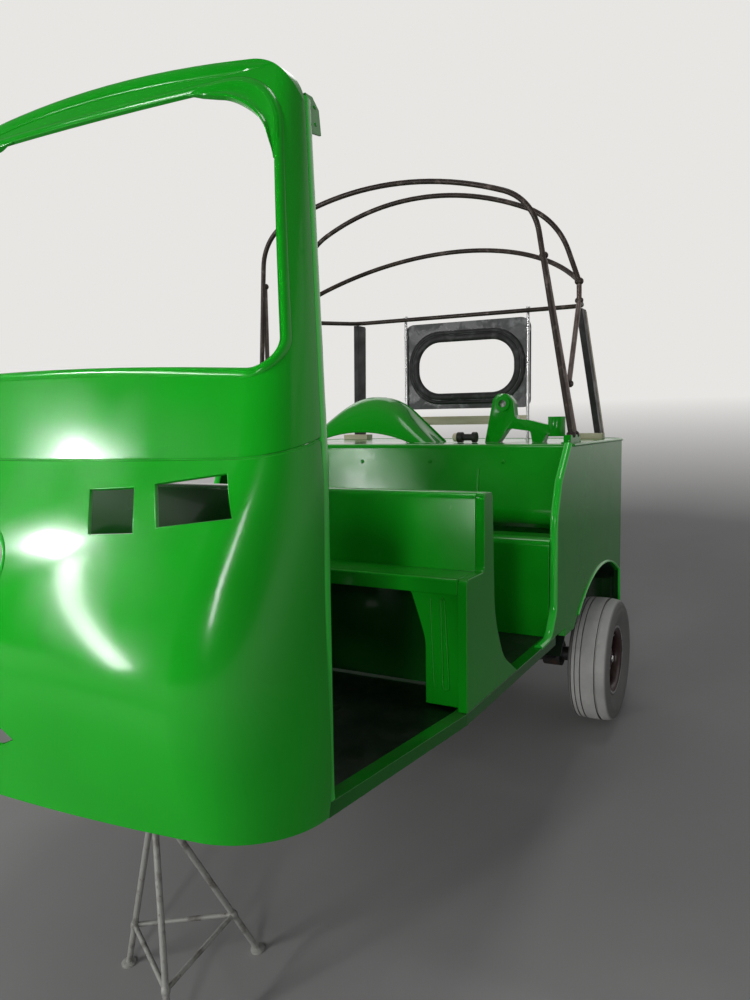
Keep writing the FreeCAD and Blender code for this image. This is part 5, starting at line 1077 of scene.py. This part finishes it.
# Mudguard's lips: place along, apex above the deck, radius of the apex and slope of the flanks in degrees
GUARD_MIDDLE = -172.0
GUARD_LIPS = ((290.0, 40.0, 500.0, 20.0), (150.0, 157.0, 215.0, 42.0))
BOLT_CAP = ((4.0, -17), (9.0, -16.4), (13.5, -13), (14.5, -5), (14.5, 0), (12.5, 1.5))


class VEHICLE_OT_loose(bpy.types.Operator):
    """Rolls the loose mudguard's lips and caps the bolt"""
    bl_idname = "vehicle.loose"
    bl_label = "Loose parts"

    def execute(self, context):
        deck = span("rear_deck")[1].z
        lips = Form()
        for x, height, radius, slope in GUARD_LIPS:
            fall = radians(slope)
            peak = deck + height + radius * (1 / cos(fall) - 1)
            half = (peak - deck) / tan(fall)
            feet = [(GUARD_MIDDLE + way * half, deck + 2) for way in SIDES]
            points = rounded([feet[0], (GUARD_MIDDLE, peak, radius), feet[1]], 12, 30, closed=False)
            lips.tube([Vector((x, across, up - 2)) for across, up in points], 4.0)
        lips.piece("mudguard_lips")

        low, high = span("loose_bolt")
        cap = Form().turned(Vector(((low.x + high.x) / 2, low.y, (low.z + high.z) / 2)), ACROSS, BOLT_CAP)
        cap.piece("bolt_cap", "cream_wood")
        return {"FINISHED"}


# Stand

# In the ground's frame: its middle along, its feet's distance from there, and its top
STAND_X, FOOT_REACH, STAND_TOP = 1490, 175.0, 475.0


class VEHICLE_OT_stand(bpy.types.Operator):
    """Adds the tripod's feet, the collars on its legs and the ring below its head"""
    bl_idname = "vehicle.stand"
    bl_label = "Stand"

    def execute(self, context):
        centre = ALONG * STAND_X
        top = centre + UP * STAND_TOP
        feet = Form()
        for c, s in around(3, pi / 6):
            foot = centre + (ALONG * c + ACROSS * s) * FOOT_REACH
            feet.turned(foot, UP, [(0, 0), (17, 0), (17, 4), (10, 8), (0, 9)], 24)
            joint = foot.lerp(top, 122 / STAND_TOP)
            feet.turned(joint, top - foot, [(7, -9), (9.5, -5), (10, 0), (9.5, 5), (7, 9)], 16)
        feet.turned(top - UP * 20, UP, [(22, 0), (26, 2), (26, 7), (22, 9)])
        feet.piece("stand_feet", "stand_paint", frame_of=GROUND)
        return {"FINISHED"}


# Stage

BACKDROP = (0.80, 0.79, 0.77)
# Name, way from what they light, distance, way of the long side, width, length, watts and spread in degrees
LAMPS = (
    ("softbox_key", (0.76, -0.58, 0.22), 4.5, (0.486, 0.304, -0.82), 0.3, 3.0, 112, 180),
    ("softbox_window", (0.51, -0.715, 0.49), 4.2, (0.7, 0.7, 0.0), 0.25, 0.45, 1.2, 24),
    ("softbox_front", (0.90, 0.30, 0.31), 5.0, (0.0, 0.3, 1.0), 0.4, 1.8, 54, 180),
    ("softbox_side", (-0.20, 0.80, 0.56), 5.8, (1.0, 0.0, 0.0), 0.8, 3.2, 3, 180),
    ("softbox_top", (-0.33, 0.05, 0.94), 5.2, (1.0, 0.0, 0.3), 1.2, 1.4, 30, 180),
    ("softbox_back", (-0.80, -0.40, 0.40), 5.5, (0.0, 1.0, 0.0), 1.6, 2.4, 18, 180),
)
# What the lamps light, and half the floor's side, in metres
LIT = Vector((1.05, 0.25, 1.1))
FLOOR_HALF = 30.0
# Where the floor turns pale and where it fades into the backdrop, in metres from its middle
PALE_FLOOR, FADING_FLOOR = (2.5, 7.0), (3.2, 8.5)


def placed(scene, name, data):
    thing = bpy.data.objects.new(name, data)
    scene.collection.objects.link(thing)
    return thing


def make_floor(scene, looks):
    """A floor that fades into the backdrop."""
    corners = [(x * FLOOR_HALF, y * FLOOR_HALF, 0) for x, y in ((-1, -1), (1, -1), (1, 1), (-1, 1))]
    mesh = bpy.data.meshes.new("studio_floor")
    mesh.from_pydata(corners, [], [(0, 1, 2, 3)])
    floor = placed(scene, "studio_floor", mesh)
    ground = Finish("studio_floor", looks.floor_colour, 0.7, Specular_IOR_Level=0.2)
    ground.colours(((0.31, 0.305, 0.30), ground.ramp(ground.noise(0.8, 6), 0.35, 0.7)),
                   ((0.70, 0.69, 0.68), ground.ramp(ground.away(), *PALE_FLOOR)))
    ground.bump(ground.noise(40.0, 4), 0.0004, 0.3)
    glow = ground.add("ShaderNodeEmission", (*BACKDROP, 1), 1.0)
    far = ground.math("MULTIPLY", ground.seen(), ground.ramp(ground.away(), *FADING_FLOOR))
    faded = ground.blend(far, ground.shader.outputs["BSDF"], glow.outputs[0])
    ground.feed(faded, ground.output.inputs["Surface"])
    mesh.materials.append(ground.material)


def make_world(scene):
    """A pale backdrop for the camera and mirrors, and a dim fill for everything else."""
    world = bpy.data.worlds.new("studio_world")
    scene.world = world
    world.use_nodes = True
    sky = Nodes(world.node_tree)
    fill = sky.add("ShaderNodeBackground", (0.86, 0.88, 0.92, 1), 0.17)
    # Mirrors see it pale behind the object and dark overhead and behind the camera, the camera sees it even
    way = sky.add("ShaderNodeTexCoord").outputs["Generated"]
    overhead = sky.ramp(sky.part(way, "Z"), 0.32, 0.6, 1.0, 0.25, "SMOOTHSTEP")
    behind = sky.ramp(sky.part(way, "X"), 0.0, 0.6, 1.0, 0.12, "SMOOTHSTEP")
    camera = sky.add("ShaderNodeLightPath").outputs["Is Camera Ray"]
    shade = sky.math("MAXIMUM", sky.math("MULTIPLY", overhead, behind), camera)
    backdrop = sky.add("ShaderNodeBackground", sky.mix(shade, (0.0, 0.0, 0.0, 1), (*BACKDROP, 1)), 1.0)
    sky.add("ShaderNodeOutputWorld", sky.blend(sky.seen(), fill.outputs[0], backdrop.outputs[0]))


def make_lamps(scene):
    for name, way, distance, length_way, width, length, watts, opening in LAMPS:
        data = bpy.data.lights.new(name, "AREA")
        data.shape = "RECTANGLE"
        data.size, data.size_y, data.energy, data.spread = width, length, watts, radians(opening)
        back = Vector(way).normalized()
        across = Vector(length_way).cross(back).normalized()
        turned = Matrix((across, back.cross(across), back)).transposed().to_4x4()
        placed(scene, name, data).matrix_world = Matrix.Translation(LIT + back * distance) @ turned


def make_camera(scene, view):
    """The photograph's camera, placed in the vehicle's frame."""
    data = bpy.data.cameras.new("photo_camera")
    data.sensor_width, data.lens, data.clip_start = 36.0, view.focal, 0.05
    ahead = Vector((-cos(view.heading), -sin(view.heading), 0))
    right = ahead.cross(UP)
    look = ahead * cos(view.dip) - UP * sin(view.dip)
    down = look.cross(right)
    across = right * cos(view.roll) + down * sin(view.roll)
    below = down * cos(view.roll) - right * sin(view.roll)
    axes = Matrix((TILT @ across, TILT @ -below, TILT @ -look)).transposed()
    scene.camera = placed(scene, "photo_camera", data)
    scene.camera.matrix_world = Matrix.Translation(VEHICLE @ Vector(view.station)) @ axes.to_4x4()


class VEHICLE_OT_stage(bpy.types.Operator):
    """Makes the floor, the studio light and the camera"""
    bl_idname = "vehicle.stage"
    bl_label = "Stage"

    def execute(self, context):
        scene = context.scene
        scene.view_settings.view_transform = "Standard"
        make_floor(scene, scene.vehicle_looks)
        make_world(scene)
        make_lamps(scene)
        make_camera(scene, scene.vehicle_camera)
        return {"FINISHED"}


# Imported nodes

# Nodes of folded sheet or bar whose edges are rounded
ROUNDED = {
    "side_stub_left": 1.6, "side_stub_right": 1.6, "quarter_panel_left": 1.0, "quarter_panel_right": 1.0,
    "driver_partition": 1.0, "seat_shelf": 1.0, "seat_legs": 1.6, "rear_riser": 1.0, "backrest_panel": 1.0,
    "loose_fork": 2.2, "side_boards": 1.0, "hood_pivots": 0.8, "wood_strip": 0.8, "sills": 1.0,
    "chassis_rails": 1.5, "loose_bolt": 0.8, "stand_head": 0.8, "tail_panel": 0.8, "rear_deck": 1.0,
}
# Nodes whose finish isn't that of their slot; the partition, seat shelf, sills, tail panel and quarter panels
# get finishes with painted shade
FINISHES = {
    "hood_braces": "bare_steel", "hood_legs": "bare_steel", "driver_partition": "shaded_paint",
    "seat_shelf": "shelf_shade_paint", "sills": "sill_shade_paint", "backrest_panel": "satin_paint",
    "tail_panel": "inward_shade_paint", "quarter_panel_left": "inward_shade_paint",
    "quarter_panel_right": "inward_shade_paint", "arch_liners": "inner_paint",
}
# Corners closer than this are one, in millimetres, and faces that meet flatter than this are one, in degrees
WELD_GAP, FLAT = 0.01, 0.5


class VEHICLE_OT_nodes(bpy.types.Operator):
    """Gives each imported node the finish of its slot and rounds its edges"""
    bl_idname = "vehicle.nodes"
    bl_label = "Packed nodes"

    def execute(self, context):
        make_materials(context.scene.vehicle_looks)
        scale = context.scene.vehicle_trim.edge / 2
        for row in frame["record"]["subparts"]:
            name = row["node"]
            thing = NODES[name]
            thing.data.materials.clear()
            thing.data.materials.append(MATERIALS[FINISHES.get(name, row["material_slot"])])
            if name in ROUNDED and scale:
                weld = thing.modifiers.new("weld", "WELD")
                weld.merge_threshold = WELD_GAP * MM
                flat = thing.modifiers.new("flat_faces", "DECIMATE")
                flat.decimate_type = "DISSOLVE"
                flat.angle_limit = radians(FLAT)
                round_edges(thing, ROUNDED[name] * scale, 30.0)
        return {"FINISHED"}


class VEHICLE_PT_panel(bpy.types.Panel):
    """Lists the vehicle's pieces"""
    bl_idname = "VEHICLE_PT_panel"
    bl_label = "Vehicle"
    bl_space_type = "VIEW_3D"
    bl_region_type = "UI"
    bl_category = "Vehicle"

    def draw(self, context):
        layout = self.layout
        for name, _ in GROUPS:
            group = getattr(context.scene, name)
            for value in group.__annotations__:
                layout.prop(group, value)
        for operator in OPERATORS:
            layout.operator(operator.bl_idname)


GROUPS = (("vehicle_looks", VehicleLooks), ("vehicle_camera", VehicleCamera), ("vehicle_trim", VehicleTrim))
OPERATORS = (VEHICLE_OT_nodes, VEHICLE_OT_nose, VEHICLE_OT_edges, VEHICLE_OT_cab, VEHICLE_OT_sides,
             VEHICLE_OT_lid,
             VEHICLE_OT_wheels, VEHICLE_OT_suspension, VEHICLE_OT_engine, VEHICLE_OT_hood, VEHICLE_OT_window,
             VEHICLE_OT_loose, VEHICLE_OT_stand, VEHICLE_OT_stage)


def register():
    for name, group in GROUPS:
        bpy.utils.register_class(group)
        setattr(bpy.types.Scene, name, bpy.props.PointerProperty(type=group))
    for kind in (*OPERATORS, VEHICLE_PT_panel):
        bpy.utils.register_class(kind)


def unregister():
    for kind in (VEHICLE_PT_panel, *reversed(OPERATORS)):
        bpy.utils.unregister_class(kind)
    for name, group in reversed(GROUPS):
        delattr(bpy.types.Scene, name)
        bpy.utils.unregister_class(group)


def main():
    register()
    for operator in OPERATORS:
        group, name = operator.bl_idname.split(".")
        getattr(getattr(bpy.ops, group), name)()


if __name__ == "__main__":
    main()
